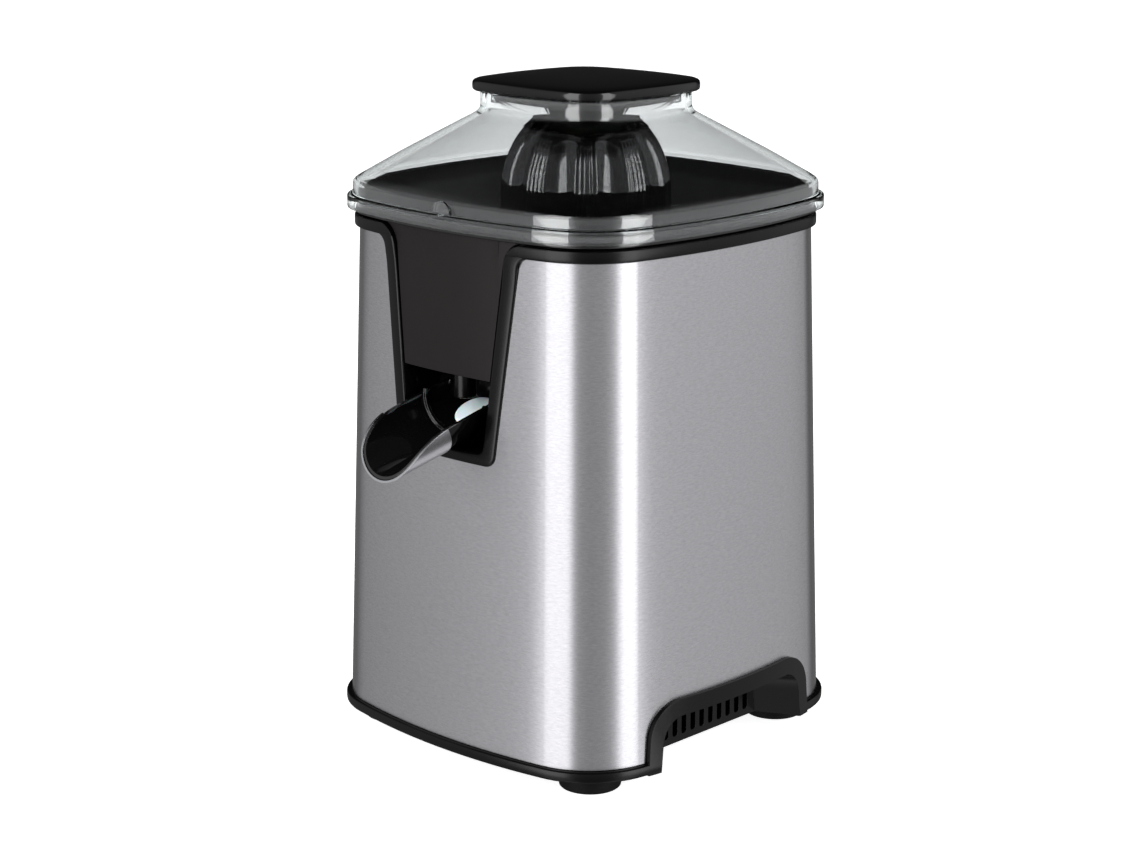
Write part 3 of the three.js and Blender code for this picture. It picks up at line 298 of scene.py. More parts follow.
def combine(piece, operation, *tools):
    """piece with each tool added, cut away or kept in common; the tools are used up."""
    for tool in tools:
        modifier = piece.modifiers.new("shape", "BOOLEAN")
        modifier.operation = operation
        modifier.solver = "MANIFOLD"
        modifier.object = tool
        apply_modifiers(piece)
    for tool in tools:
        mesh = tool.data
        bpy.data.objects.remove(tool)
        bpy.data.meshes.remove(mesh)
    return piece


def add(piece, *tools):
    return combine(piece, "UNION", *tools)


def cut(piece, *tools):
    return combine(piece, "DIFFERENCE", *tools)


def keep(piece, *tools):
    return combine(piece, "INTERSECT", *tools)


def finish(piece, name, material, body, nodes, angle=32):
    """Names a finished piece, shades it smooth except at its edges, and ties it to its body and CAD nodes."""
    piece.name = name
    piece.data.name = name
    bm = bmesh.new()
    bm.from_mesh(piece.data)
    bmesh.ops.remove_doubles(bm, verts=bm.verts, dist=2e-6)
    bmesh.ops.dissolve_degenerate(bm, edges=bm.edges, dist=1e-6)
    bm.to_mesh(piece.data)
    bm.free()
    piece.data.materials.clear()
    piece.data.materials.append(material)
    for polygon in piece.data.polygons:
        polygon.use_smooth = True
    piece.data.set_sharp_from_angle(angle=math.radians(angle))
    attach(piece, body)
    if nodes:
        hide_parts(*nodes)
    return piece


# ------------------------------------------------------------------ materials
def new_material(name):
    material = bpy.data.materials.new(name)
    material.use_nodes = True
    nodes = material.node_tree.nodes
    links = material.node_tree.links
    return material, nodes, links, nodes["Principled BSDF"]


def object_noise(nodes, links, scale, stretch=(1, 1, 1), detail=4, rough=0.6):
    coordinates = nodes.new("ShaderNodeTexCoord")
    mapping = nodes.new("ShaderNodeMapping")
    mapping.inputs["Scale"].default_value = stretch
    noise = nodes.new("ShaderNodeTexNoise")
    noise.inputs["Scale"].default_value = scale
    noise.inputs["Detail"].default_value = detail
    noise.inputs["Roughness"].default_value = rough
    links.new(coordinates.outputs["Object"], mapping.inputs["Vector"])
    links.new(mapping.outputs["Vector"], noise.inputs["Vector"])
    return noise.outputs["Fac"]


def plug(links, value, socket):
    """Links a socket's value, or sets a number or a colour."""
    if isinstance(value, bpy.types.NodeSocket):
        links.new(value, socket)
    else:
        socket.default_value = (*value, 1) if isinstance(value, tuple) else value


def spread(nodes, links, value, low_value, high_value, start=0.3, end=0.7, interpolation="LINEAR"):
    """Maps start..end to low..high and holds it there."""
    ranged = nodes.new("ShaderNodeMapRange")
    ranged.interpolation_type = interpolation
    ranged.inputs["From Min"].default_value = start
    ranged.inputs["From Max"].default_value = end
    ranged.inputs["To Min"].default_value = low_value
    ranged.inputs["To Max"].default_value = high_value
    links.new(value, ranged.inputs["Value"])
    return ranged.outputs["Result"]


def mixed(nodes, links, factor, first, second):
    mix = nodes.new("ShaderNodeMix")
    mix.data_type = "RGBA"
    plug(links, first, mix.inputs["A"])
    plug(links, second, mix.inputs["B"])
    links.new(factor, mix.inputs["Factor"])
    return mix.outputs["Result"]


def shades(color, variation):
    """A darker and a lighter shade of a colour."""
    return tuple(c * (1 - variation) for c in color), tuple(min(1, c * (1 + variation)) for c in color)


def bump(nodes, links, height, distance, strength=1.0, radius=0.0):
    node = nodes.new("ShaderNodeBump")
    node.inputs["Distance"].default_value = distance
    node.inputs["Strength"].default_value = strength
    links.new(height, node.inputs["Height"])
    if radius:
        edge = nodes.new("ShaderNodeBevel")
        edge.samples = 6
        edge.inputs["Radius"].default_value = radius
        links.new(edge.outputs["Normal"], node.inputs["Normal"])
    return node.outputs["Normal"]


def brushed_steel(name, color, roughness, anisotropy, grain_scale, contrast):
    """Steel brushed level, so that highlights stretch upwards."""
    material, nodes, links, shader = new_material(name)
    grain = object_noise(nodes, links, 1.0, grain_scale, detail=5, rough=0.7)
    cloud = object_noise(nodes, links, 9.0, detail=3)
    tone = mixed(nodes, links, spread(nodes, links, grain, 0, 1), *shades(color, contrast))
    links.new(tone, shader.inputs["Base Color"])
    rough = spread(nodes, links, cloud, roughness - 0.01, roughness + 0.01, 0, 1)
    links.new(rough, shader.inputs["Roughness"])
    shader.inputs["Metallic"].default_value = 1.0
    shader.inputs["Anisotropic"].default_value = anisotropy
    shader.inputs["Anisotropic Rotation"].default_value = 0.25
    tangent = nodes.new("ShaderNodeTangent")
    tangent.direction_type = "RADIAL"
    tangent.axis = "Z"
    links.new(tangent.outputs["Tangent"], shader.inputs["Tangent"])
    links.new(bump(nodes, links, grain, 0.000004, 0.5), shader.inputs["Normal"])
    return material


def plastic(name, color, roughness, texture=0.000012, grain=900, ior=1.5, level=0.5):
    """Moulded plastic with a faint cloud in its colour and gloss, a fine texture and softened edges."""
    material, nodes, links, shader = new_material(name)
    fine = object_noise(nodes, links, grain, detail=3)
    cloud = object_noise(nodes, links, 14.0)
    tone = mixed(nodes, links, spread(nodes, links, cloud, 0, 1), *shades(color, 0.12))
    links.new(tone, shader.inputs["Base Color"])
    rough = spread(nodes, links, cloud, roughness * 0.92, roughness * 1.08, 0, 1)
    links.new(rough, shader.inputs["Roughness"])
    shader.inputs["IOR"].default_value = ior
    shader.inputs["Specular IOR Level"].default_value = level
    links.new(bump(nodes, links, fine, texture, 1.0, 0.0004), shader.inputs["Normal"])
    return material


def clear_plastic(name):
    material, nodes, links, shader = new_material(name)
    cloud = object_noise(nodes, links, 30.0, detail=2)
    links.new(spread(nodes, links, cloud, 0.0, 0.02), shader.inputs["Roughness"])
    shader.inputs["Base Color"].default_value = (0.89, 0.89, 0.895, 1)
    shader.inputs["Transmission Weight"].default_value = 1.0
    shader.inputs["IOR"].default_value = 1.49
    shader.inputs["Specular IOR Level"].default_value = 1.0
    absorb = nodes.new("ShaderNodeVolumeAbsorption")
    absorb.inputs["Color"].default_value = (0.35, 0.78, 0.72, 1)
    absorb.inputs["Density"].default_value = 20.0
    links.new(absorb.outputs["Volume"], nodes["Material Output"].inputs["Volume"])
    return material


def silicone(name):
    material, nodes, links, shader = new_material(name)
    fine = object_noise(nodes, links, 700.0, detail=3)
    cloud = object_noise(nodes, links, 60.0, detail=3)
    tone = mixed(nodes, links, spread(nodes, links, cloud, 0, 1), (0.66, 0.76, 0.8), (0.76, 0.85, 0.88))
    links.new(tone, shader.inputs["Base Color"])
    shader.inputs["Roughness"].default_value = 0.42
    shader.inputs["Subsurface Weight"].default_value = 0.35
    shader.inputs["Subsurface Scale"].default_value = 0.003
    links.new(bump(nodes, links, fine, 0.00001, 1.0, 0.0004), shader.inputs["Normal"])
    return material


def metal(name, color, roughness, grain=(300, 300, 300), texture=0.000006):
    material, nodes, links, shader = new_material(name)
    fine = object_noise(nodes, links, 1.0, grain)
    dark = tuple(c * 0.93 for c in color)
    tone = mixed(nodes, links, spread(nodes, links, fine, 0, 1), dark, color)
    links.new(tone, shader.inputs["Base Color"])
    links.new(spread(nodes, links, fine, roughness * 0.85, roughness * 1.15), shader.inputs["Roughness"])
    shader.inputs["Metallic"].default_value = 1.0
    links.new(bump(nodes, links, fine, texture, 1.0, 0.0002), shader.inputs["Normal"])
    return material


STEEL_FINISH = brushed_steel("brushed_stainless", (0.45, 0.444, 0.457), 0.26, 0.9, (420, 420, 1700), 0.1)
SATIN_BLACK = plastic("satin_black_plastic", (0.0014, 0.0013, 0.0013), 0.24, level=0.15)
APRON_BLACK = plastic("matt_black_plastic", (0.008, 0.0066, 0.0066), 0.4, texture=0.00002, level=0.1)
GLOSS_BLACK = plastic(
    "gloss_black_plastic", (0.002, 0.002, 0.0022), 0.06, texture=0.0000015, grain=300, ior=1.6,
)
RIM_BLACK = plastic("moulded_rim_plastic", (0.005, 0.0048, 0.0048), 0.1, texture=0.000003, ior=1.55)
# Painted shade: a darker copy of the bowl's black plastic for its inside, standing in for the shade in the
# bowl's hollow.
INSIDE_PAINTED_SHADE = plastic(
    "bowl_inside_painted_shade", (0.0015, 0.0015, 0.0015), 0.3, texture=0.000006, level=0.15,
)
CAP_BLACK = plastic(
    "polished_black_plastic", (0.0012, 0.0012, 0.0013), 0.06, texture=0.000001, grain=300, level=0.3,
)
RUBBER = plastic(
    "black_rubber", (0.0025, 0.0025, 0.0025), 0.6, texture=0.00004, grain=600, level=0.08,
)
SILICONE = silicone("pale_silicone")
SILVER = metal("satin_silver", (0.5, 0.505, 0.515), 0.2, (1200, 1200, 1200), 0.000001)
CLEAR = clear_plastic("clear_lid_plastic")
MESH_STEEL = metal("strainer_steel", (0.5, 0.5, 0.5), 0.25)
GREY_PLASTIC = plastic("light_grey_plastic", (0.42, 0.42, 0.41), 0.5)
NYLON = plastic("natural_nylon", (0.62, 0.59, 0.5), 0.45)
IRON = metal("laminated_iron", (0.25, 0.25, 0.26), 0.45, (40, 40, 2500))
COPPER = metal("enamelled_copper", (0.5, 0.22, 0.09), 0.35, (40, 900, 900))
BRONZE = metal("sintered_bronze", (0.45, 0.32, 0.14), 0.4)
BOLT_STEEL = metal("zinc_plated_steel", (0.6, 0.61, 0.63), 0.3)

# ------------------------------------------------------------------ camera
TARGET = Vector(world(0, 0, 123.3))
AZIMUTH, ELEVATION, ROLL = math.radians(43.44), math.radians(14.23), math.radians(0.15)
DISTANCE, LENS, SHIFT = 1.145, 79.65, -0.0135
camera_data = bpy.data.cameras.new("camera")
camera = bpy.data.objects.new("camera", camera_data)
scene.collection.objects.link(camera)
scene.camera = camera
camera_data.sensor_width = 36
camera_data.lens = LENS
camera_data.shift_x = SHIFT
camera_data.clip_start = 0.01
direction = Vector((
    math.sin(AZIMUTH) * math.cos(ELEVATION),
    -math.cos(AZIMUTH) * math.cos(ELEVATION),
    math.sin(ELEVATION),
))
camera.location = TARGET + direction * DISTANCE
turn = direction.to_track_quat("Z", "Y").to_matrix().to_4x4()
camera.rotation_euler = (turn @ Matrix.Rotation(ROLL, 4, "Z")).to_euler()


# ------------------------------------------------------------------ housing
def steel_skin():
    heights = [0.3] + [HEIGHT * i / 10 for i in range(1, 11)]
    skin = plan_loft("skin", [(housing_half(z), z) for z in heights])
    inner = plan_loft("inner", [(housing_half(z) - STEEL, z) for z in (-1, HEIGHT + 1)])
    bay = prism("bay", bay_shape(0.9, 0.9, 5, 5.2), 60, 110, FRONT)
    tools = [inner, bay]
    arch = grip_shape(GRIP_HALF + 3, GRIP_TOP + 4.6, -5, 15)
    for side in (-1, 1):
        tools.append(prism("arch", arch, side * 60, side * 110, SIDE))
    cut(skin, *tools)
    gland = cross_rod("gland", GLAND_HOLE, -110, -60, (0, GLAND_HEIGHT))
    to_the_rear = Matrix.Rotation(-math.pi / 2, 4, "Z")
    gland.data.transform(Matrix.Translation(ORIGIN) @ to_the_rear @ Matrix.Translation(-ORIGIN))
    cut(skin, gland)
    return finish(skin, "steel_skin", STEEL_FINISH, "housing", ["steel_housing"])


# The frame's section from its outer edge to its inner edge: inset and height above the steel.
FRAME_SECTION = [
    (0.0, -0.6), (0.0, 0.15), (0.1, 0.5), (0.35, 0.8), (0.75, 1.0), (1.3, 1.1), (5.6, 1.1),
    (6.2, 1.0), (6.6, 0.7), (6.8, 0.25), (6.8, -7.0),
]

# How many pieces each stretch of the frame's path has: the arcs stay, the straights follow the face.
ARC_STEPS = 10
AS_IS = [1] * ARC_STEPS
STEPS = AS_IS + [14] + AS_IS + [10] + AS_IS + [14] + AS_IS


def frame_path(inset, sill, corner, flare, top):
    """From the left flare's end down, across the sill and up to the right flare's end, in even steps."""
    outline = bay_shape(inset, sill, corner, flare, top, ARC_STEPS)
    # the outline holds three arcs, the four corners of the strip above them and the left flare's arc
    right_end = 3 * (ARC_STEPS + 1)
    left_start = right_end + 4
    stretch = outline[left_start:] + outline[:right_end]
    path = stretch[:1]
    for (x0, z0), (x1, z1), steps in zip(stretch, stretch[1:], STEPS):
        path += [(x0 + (x1 - x0) * i / steps, z0 + (z1 - z0) * i / steps) for i in range(1, steps + 1)]
    return path


def bay_edge():
    """The raised frame round the bay: its section, swept along the bay's edge on the housing's front."""
    verts, faces, rows = [], [], []
    for inset, height in FRAME_SECTION:
        share = inset / FRAME_SIDE
        top = TRIM_BOTTOM + (TRIM_TOP - 0.4 - TRIM_BOTTOM) * share
        row = []
        for x, z in frame_path(inset, FRAME_SILL * share, 5.5 - 1.5 * share, 5.5 + 4.5 * share, top):
            rise = min(1.0, max(0.0, (z - 204) / 13))
            proud = height + 0.75 * rise * rise * (3 - 2 * rise) * (1 if height > 0.2 else 0)
            row.append(len(verts))
            verts.append((x, -face_distance(x, housing_half(z)) - proud, z))
        rows.append(row)
    for lower, upper in zip(rows, rows[1:] + rows[:1]):
        for i in range(len(lower) - 1):
            faces.append((lower[i], lower[i + 1], upper[i + 1], upper[i]))
    faces.append(tuple(row[0] for row in rows))
    faces.append(tuple(row[-1] for row in reversed(rows)))
    edge = build("edge", verts, faces)
    return finish(edge, "bay_edge", SATIN_BLACK, "housing", [])


def trim_band():
    """The band on top of the steel and the skirt that reaches down inside it."""
    outer, inner, skirt_bottom = TRIM_HALF, 82.3, 187.6
    band = plan_loft("band", [
        (outer - 3, TRIM_BOTTOM), (outer - 0.7, TRIM_BOTTOM), (outer - 0.2, TRIM_BOTTOM + 0.35),
        (outer, TRIM_BOTTOM + 0.9), (outer, TRIM_TOP - 1.3), (outer - 0.15, TRIM_TOP - 0.75),
        (outer - 0.6, TRIM_TOP - 0.25), (outer - 1.2, TRIM_TOP), (outer - 3, TRIM_TOP),
    ])
    cut(band, plan_loft("hollow", [(inner, TRIM_BOTTOM - 1), (inner, TRIM_TOP + 1)]))
    skirt = plan_loft("skirt", [(inner + 1.6, skirt_bottom), (inner + 1.6, TRIM_BOTTOM + 1)])
    cut(skirt, plan_loft("hollow", [(inner, skirt_bottom - 0.6), (inner, TRIM_BOTTOM + 2)]))
    add(band, skirt)
    window = bay_shape(FRAME_SIDE, FRAME_SILL, 4, 10, TRIM_TOP - 0.4)
    cut(band, prism("window", window, 50, 110, FRONT))
    return finish(band, "trim_band", SATIN_BLACK, "housing", ["top_frame"])


def spout_bay():
    inner = bay_shape(FRAME_SIDE - 0.2, FRAME_SILL, 4, 0)
    outer = bay_shape(FRAME_SIDE - 1.9, FRAME_SILL - 1.6, 5, 0)
    shell = cut(prism("bay", outer, 46.4, 79.6, FRONT), prism("inner", inner, 48, 82, FRONT))
    keep(shell, block("below", (-60, -110, 100), (60, 0, 184)))
    add(shell, prism("rib", rounded_box(-26, 139.4, 26, 140.8, 0.6, 3), 47.6, 49.2, FRONT))
    return finish(shell, "bay_liner", SATIN_BLACK, "housing", ["spout_bay"])


# ------------------------------------------------------------------ base
def base_ring():
    edge = BASE_HALF
    ring = plan_loft("ring", [
        (edge - 1.4, RING_BOTTOM), (edge - 0.5, RING_BOTTOM + 0.4), (edge - 0.1, RING_BOTTOM + 0.9),
        (edge, RING_BOTTOM + 1.5), (edge, -1.1), (edge - 0.15, -0.5), (edge - 0.6, -0.1), (edge - 1.2, 0),
    ])
    upstand = housing_half(4) - STEEL - 0.5
    add(ring, plan_loft("upstand", [(upstand, -0.5), (upstand - 0.15, 8)]))
    return cut(
        ring,
        plan_loft("inside", [(upstand - 2, FLOOR + 2.5), (upstand - 2, 9)]),
        plan_loft("under", [(edge - 4, RING_BOTTOM - 1), (edge - 4, FLOOR)]),
    )


def proud_plan(name):
    """The housing's lower part, standing a little proud of the steel."""
    return plan_loft(name, [(BASE_HALF, RING_BOTTOM), (housing_half(PROUD_TOP) + 2.2, PROUD_TOP)])


def grip_surround(side):
    """The raised arch round a side grip, lying on the steel."""
    arch = proud_plan("arch")
    above = PROUD_TOP + 1
    cut(arch, plan_loft("steel", [
        (housing_half(RING_BOTTOM) + 0.3, RING_BOTTOM - 1), (housing_half(above) + 0.3, above),
    ]))
    outline = grip_shape(GRIP_HALF + 5, GRIP_TOP + 7.2, RING_BOTTOM, 17, 14)
    return keep(arch, prism("shape", outline, side * 60, side * 110, SIDE))


def grip_well(side, name, wall, bottom):
    """The pocket behind a side grip, or with no wall the space in it, which widens outwards."""
    return loft(name, [
        (side * (GRIP_BACK - wall), grip_shape(GRIP_BACK_HALF + wall, GRIP_TOP - 1 + wall, bottom, 12, 14)),
        (side * WELL_MOUTH, grip_shape(GRIP_HALF + 2 + wall, GRIP_TOP + wall, bottom, 12, 14)),
    ], SIDE)


def base_shell():
    ring = base_ring()
    for side in (-1, 1):
        arch = grip_surround(side)
        well = grip_well(side, "well", WELL_WALL, RING_BOTTOM + 0.4)
        keep(well, proud_plan("limit"))
        hollow = grip_well(side, "hollow", 0, RING_BOTTOM - 2)
        add(ring, arch, well)
        cut(ring, hollow)
        for i in range(GRIP_SLOTS):
            y = (i - (GRIP_SLOTS - 1) / 2) * SLOT_PITCH
            outline = rounded_box(y - 1.6, -1.6, y + 1.6, 14.2, 1.2, 4)
            cut(ring, prism("slot", outline, side * (GRIP_BACK - 3), side * (GRIP_BACK + 1), SIDE))
    for sx in (-1, 1):
        for sy in (-1, 1):
            place = (sx * SCREW_PLACE, sy * SCREW_PLACE)
            cut(ring, rod("counterbore", 4.2, FLOOR - 1, 1.8, place, 32))
    return finish(ring, "base_shell", SATIN_BLACK, "housing", ["base_tray"])


def foot_pad(node, sx, sy):
    bottom = FOOT_BOTTOM
    pad = turned("pad", [
        (0, bottom + 0.4), (8, bottom + 0.4), (8.6, bottom), (12.4, bottom), (13.0, bottom + 0.15),
        (13.45, bottom + 0.6), (13.6, bottom + 1.2), (13.95, FLOOR - 1.2), (13.7, FLOOR - 0.4),
        (0, FLOOR - 0.4),
    ], (sx * FOOT_PLACE, sy * FOOT_PLACE), 96)
    return finish(pad, "foot_pad_" + node, RUBBER, "housing", ["foot_" + node])


def feet():
    for depth, sy in (("front", -1), ("rear", 1)):
        for across, sx in (("left", -1), ("right", 1)):
            foot_pad(depth + "_" + across, sx, sy)


# ------------------------------------------------------------------ bowl
def juice_bowl():
    bottom = 189.6
    outer = plan_loft("bowl", [
        (77, bottom), (78.0, bottom + 0.6), (78.6, bottom + 2), (81.2, TRIM_TOP - 3), (81.2, TRIM_TOP + 0.3),
        (RIM_HALF - 0.9, TRIM_TOP + 0.3), (RIM_HALF - 0.2, TRIM_TOP + 0.7), (RIM_HALF, TRIM_TOP + 1.3),
        (RIM_HALF, SHOULDER - 0.7), (RIM_HALF - 0.3, SHOULDER - 0.2), (RIM_HALF - 0.8, SHOULDER),
        (LIP_HALF, SHOULDER), (LIP_HALF, LIP_TOP - 1.0), (LIP_HALF - 0.3, LIP_TOP - 0.3),
        (LIP_HALF - 1.0, LIP_TOP), (LIP_HALF - 1.6, LIP_TOP),
    ])
    inside = plan_loft("inside", [
        (70, 192), (72.6, 192.6), (74.4, 194), (75.5, 196.5), (78.8, TRIM_TOP - 3), (82.6, TRIM_TOP + 3.5),
        (83.2, TRIM_TOP + 6), (83.4, LIP_TOP - 0.6), (84.0, LIP_TOP + 0.2), (84.0, LIP_TOP + 2),
    ])
    plate = plan_loft("plate", [
        (housing_half(z) + 0.2, z) for z in (APRON_BOTTOM, 180, 200, TRIM_TOP + 1)
    ])
    cut(plate, plan_loft("behind", [(housing_half(z) - 2.3, z) for z in (APRON_BOTTOM - 1, TRIM_TOP + 2)]))
    window = bay_shape(FRAME_SIDE + 0.8, FRAME_SILL, 0, 11, TRIM_TOP + 0.6, 12)
    keep(plate, prism("shape", window, 70, 110, FRONT))
    keep(plate, block("front", (-60, -120, APRON_BOTTOM), (60, -60, TRIM_TOP + 0.5)))
    bridge = block("bridge", (-30, -84.2, TRIM_TOP - 8), (30, -78, TRIM_TOP + 1))
    well = 10.6
    chimney = turned("chimney", [
        (well, bottom), (12.8, bottom), (12.8, 212.6), (12.5, 213.2), (11.9, 213.5), (11.2, 213.5),
        (well, 213.0),
    ], closed=True)
    outlet = (0, OUTLET_Y)
    nozzle = turned("nozzle", [
        (0, 150.9), (4.5, 150.9), (4.9, 151.2), (5, 151.8), (5, 192.3), (4.7, 192.6), (0, 192.6),
    ], outlet, 56)
    cut(outer, inside, rod("well", well, bottom - 1, 193))
    add(outer, plate, bridge, chimney)
    cut(outer, rod("drain", DRAIN_RADIUS, 149, 193, outlet, 56))
    cut(nozzle, rod("bore", OUTLET_BORE, 149, 193.5, outlet, 40))
    finish(nozzle, "outlet_nozzle", SATIN_BLACK, "bowl", ["juice_nozzle"])
    finish(outer, "bowl_body", APRON_BLACK, "bowl", ["juice_bowl"])
    outer.data.materials.append(RIM_BLACK)
    outer.data.materials.append(INSIDE_PAINTED_SHADE)
    rim_height = world(0, 0, TRIM_TOP + 0.2)[2]
    # Faces that face inwards, and upward faces below the rim, take the darker copy as painted shade inside
    # the bowl; faces above the rim take the glossier rim plastic.
    for polygon in outer.data.polygons:
        outward = (polygon.center.xy - ORIGIN.xy).dot(polygon.normal.xy)
        if outward < 0 or (polygon.normal.z > 0.5 and polygon.center.z < rim_height):
            polygon.material_index = 2
        elif polygon.center.z > rim_height:
            polygon.material_index = 1
    return outer


STRAINER_SLOTS = 48


def strainer():
    profile = [
        (14, 192.3), (15.2, 192.3), (15.2, 199.4), (15.8, 200), (49.6, 200), (50.4, 200.4), (60.6, 213.6),
        (61.2, 214), (63.6, 214), (64, 214.3), (64, 215.1), (63.6, 215.4), (60.2, 215.4), (59.6, 215.0),
        (49.8, 201.7), (49.0, 201.3), (15, 201.3), (14.2, 201.0), (14, 200.2),
    ]
    basket = turned("basket", profile, segments=128, closed=True)
    slots = []
    for i in range(STRAINER_SLOTS):
        angle = 2 * math.pi * i / STRAINER_SLOTS
        outline = rounded_box(20 + (i % 2) * 6, -0.7, 46, 0.7, 0.65, 3)
        c, s = math.cos(angle), math.sin(angle)
        slots.append(prism("slot", [(x * c - y * s, x * s + y * c) for x, y in outline], 198, 203))
    cut(basket, *slots)
    return finish(basket, "strainer_basket", MESH_STEEL, "strainer", ["strainer"])


# The reamer's dome and, around it, groups of narrow ridges with wide smooth flutes between them.
REAMER_BOTTOM, REAMER_DOME, REAMER_TOP, REAMER_RADIUS = 206.0, 232.0, 270.4, 38.0
RIDGE_GROUPS, RIDGE_SHARE, RIDGE_DEPTH, FLUTE_DEPTH = 10, 0.46, 0.45, 2.3


def reamer_radius(z):
    if z <= REAMER_DOME:
        return REAMER_RADIUS
    rise = (z - REAMER_DOME) / (REAMER_TOP - REAMER_DOME)
    return REAMER_RADIUS * math.sqrt(max(0.0, 1 - rise * rise))


def groove_depth(angle, z):
    """How far the skin lies below the dome's envelope at an angle and height."""
    pitch = 2 * math.pi / RIDGE_GROUPS
    # one group faces the corner between the front and the right side
    phase = AZIMUTH - math.pi / 2
    # -1 and 1 are the middles of the flutes on both sides of a group
    across = ((angle - phase + pitch / 2) % pitch - pitch / 2) / (pitch / 2)
    radius = max(reamer_radius(z), 1.0)
    taper = min(1.0, max(0.0, (REAMER_TOP - 1.0 - z) / 16))
    taper *= min(1.0, max(0.0, (z - REAMER_BOTTOM - 3) / 6)) * min(1.0, radius / 18)
    if abs(across) < RIDGE_SHARE:
        wave = math.cos(across / RIDGE_SHARE * math.pi * 2.5)
        return taper * RIDGE_DEPTH * (1 - wave * wave)
    flute = (abs(across) - RIDGE_SHARE) / (1 - RIDGE_SHARE)
    return taper * (RIDGE_DEPTH + FLUTE_DEPTH * math.sin(flute * math.pi / 2) ** 0.8)


def reamer():
    around = RIDGE_GROUPS * 40
    skirt = REAMER_BOTTOM + 1.2
    heights = [REAMER_BOTTOM, REAMER_BOTTOM + 0.5, skirt]
    heights += [skirt + (REAMER_DOME - skirt) * i / 12 for i in range(1, 13)]
    climb = REAMER_TOP - REAMER_DOME
    heights += [REAMER_DOME + climb * math.sin(math.pi / 2 * i / 34) for i in range(1, 34)]
    levels = []
    for k, z in enumerate(heights):
        edge = (0.7, 0.2, 0.0)[k] if k < 3 else 0.0
        outline = []
        for i in range(around):
            angle = 2 * math.pi * i / around
            radius = max(0.4, reamer_radius(z) - edge - groove_depth(angle, z))
            outline.append((radius * math.cos(angle), radius * math.sin(angle)))
        levels.append((z, outline))
    dome = loft("dome", levels)
    hollow = turned("hollow", [
        (0, REAMER_BOTTOM - 1), (33, REAMER_BOTTOM - 1), (32.4, REAMER_DOME), (29, 246), (22, 256), (12, 263),
        (0, 265),
    ])
    cut(dome, hollow)
    add(dome, rod("boss", 8, 217.4, 266))
    cut(dome, prism("socket", arc(0, 0, 7.4 / math.sqrt(3), 0, 5 * math.pi / 3, 5), 217, 243.6))
    return finish(dome, "reamer_cone", GLOSS_BLACK, "reamer", ["reamer"], 50)


# ------------------------------------------------------------------ lid
def lid():
    outer = plan_loft("lid", [
        (89.6, 225.3), (89.95, 225.5), (90.1, 225.9), (90.1, 230.4), (89.9, 230.9), (89.5, 231.2),
        (88.4, 231.4), (88.0, 231.8), (87.9, 232.3), (87.9, 236.0), (87.7, 236.9), (87.1, 237.7),
        (86.0, 238.6), (83, 240.6), (69.4, 249.6), (54.5, 258.8), (44.0, 265.2), (41.8, 266.6), (40.6, 267.7),
        (39.9, 269.0), (39.7, 270.4), (39.7, 275.7), (39.4, 276.1),
    ])
    inner = plan_loft("inner", [
        (88.4, 224), (88.4, 229.1), (88.2, 229.3), (86.4, 229.3), (86.2, 229.6), (86.2, 235.4), (85.9, 236.2),
        (85.2, 236.9), (82, 239.0), (68.4, 248.0), (53.5, 257.2), (43.0, 263.6), (40.0, 265.6), (38.4, 267.2),
        (37.9, 268.8), (37.9, 277),
    ])
    cut(outer, inner)
    finish(outer, "clear_lid", CLEAR, "lid", ["lid_shell"], 40)
    tab = prism("tab", arc(0, 231.35, 5.6, 0, math.pi, 20), 87.4, 88.75, FRONT)
    finish(tab, "lid_mark", CLEAR, "lid", [], 40)


def lid_cap():
    top = 283.0
    plate = plan_loft("cap", [
        (40.9, 276.4), (41.9, 276.5), (42.5, 277.0), (42.7, 277.8), (42.7, 279.6), (42.5, 280.4),
        (42.0, 281.0), (41.0, 281.45), (36, 282.05), (30, 282.45), (22, 282.8), (12, top - 0.02), (4, top),
    ])
    spigot = plan_loft("spigot", [(34.4, 271.7), (34.85, 271.9), (35, 272.4), (35, 277)])
    cut(spigot, plan_loft("hollow", [(32.8, 270), (32.8, 276.6)]))
    add(plate, spigot)
    return finish(plate, "cap_body", CAP_BLACK, "cap", ["lid_cap"], 40)


# ------------------------------------------------------------------ spout
# SPOUT lays a loft along the tilted spout, and SPOUT_FLANK takes outlines drawn from the side as (along, up).
SPOUT = Matrix((
    (-1, 0, 0, 0),
    (0, -math.sin(TILT), -math.cos(TILT), SPOUT_REAR[0]),
    (0, math.cos(TILT), -math.sin(TILT), SPOUT_REAR[1]),
    (0, 0, 0, 1),
))
SPOUT_FLANK = SPOUT @ Matrix(((0, 0, -1, 0), (0, 1, 0, 0), (1, 0, 0, 0), (0, 0, 0, 1)))


def channel(name, inset, start, end, steps=24, around=40):
    """The spout's half-round bar, which narrows towards its lip."""
    levels = []
    for i in range(steps + 1):
        at = start + (end - start) * i / steps
        along = min(1.0, max(0.0, (at - SPOUT_STRAIGHT) / (SPOUT_LENGTH - SPOUT_STRAIGHT)))
        half = SPOUT_HALF - 2.9 * along - inset
        depth = SPOUT_DEPTH + 0.3 * along - inset
        turns = [math.pi + math.pi * k / around for k in range(around + 1)]
        outline = [(math.cos(turn) * half, math.sin(turn) * depth) for turn in turns]
        levels.append((at, outline + [(half, 3), (-half, 3)]))
    return loft(name, levels, SPOUT)


def lip_curve(steps=28):
    """The lip's edge seen from the side, from the straight rim to the tip."""
    p0, p1 = Vector((SPOUT_STRAIGHT, 0)), Vector((SPOUT_STRAIGHT + 17.8, 0))
    p2, p3 = Vector((SPOUT_LENGTH - 6, -SPOUT_DEPTH + 10.3)), Vector((SPOUT_LENGTH, -SPOUT_DEPTH - 0.3))
    points = []
    for i in range(steps + 1):
        t = i / steps
        p = p0 * (1 - t) ** 3 + p1 * 3 * t * (1 - t) ** 2 + p2 * 3 * t * t * (1 - t) + p3 * t ** 3
        points.append((p.x, p.y))
    return points


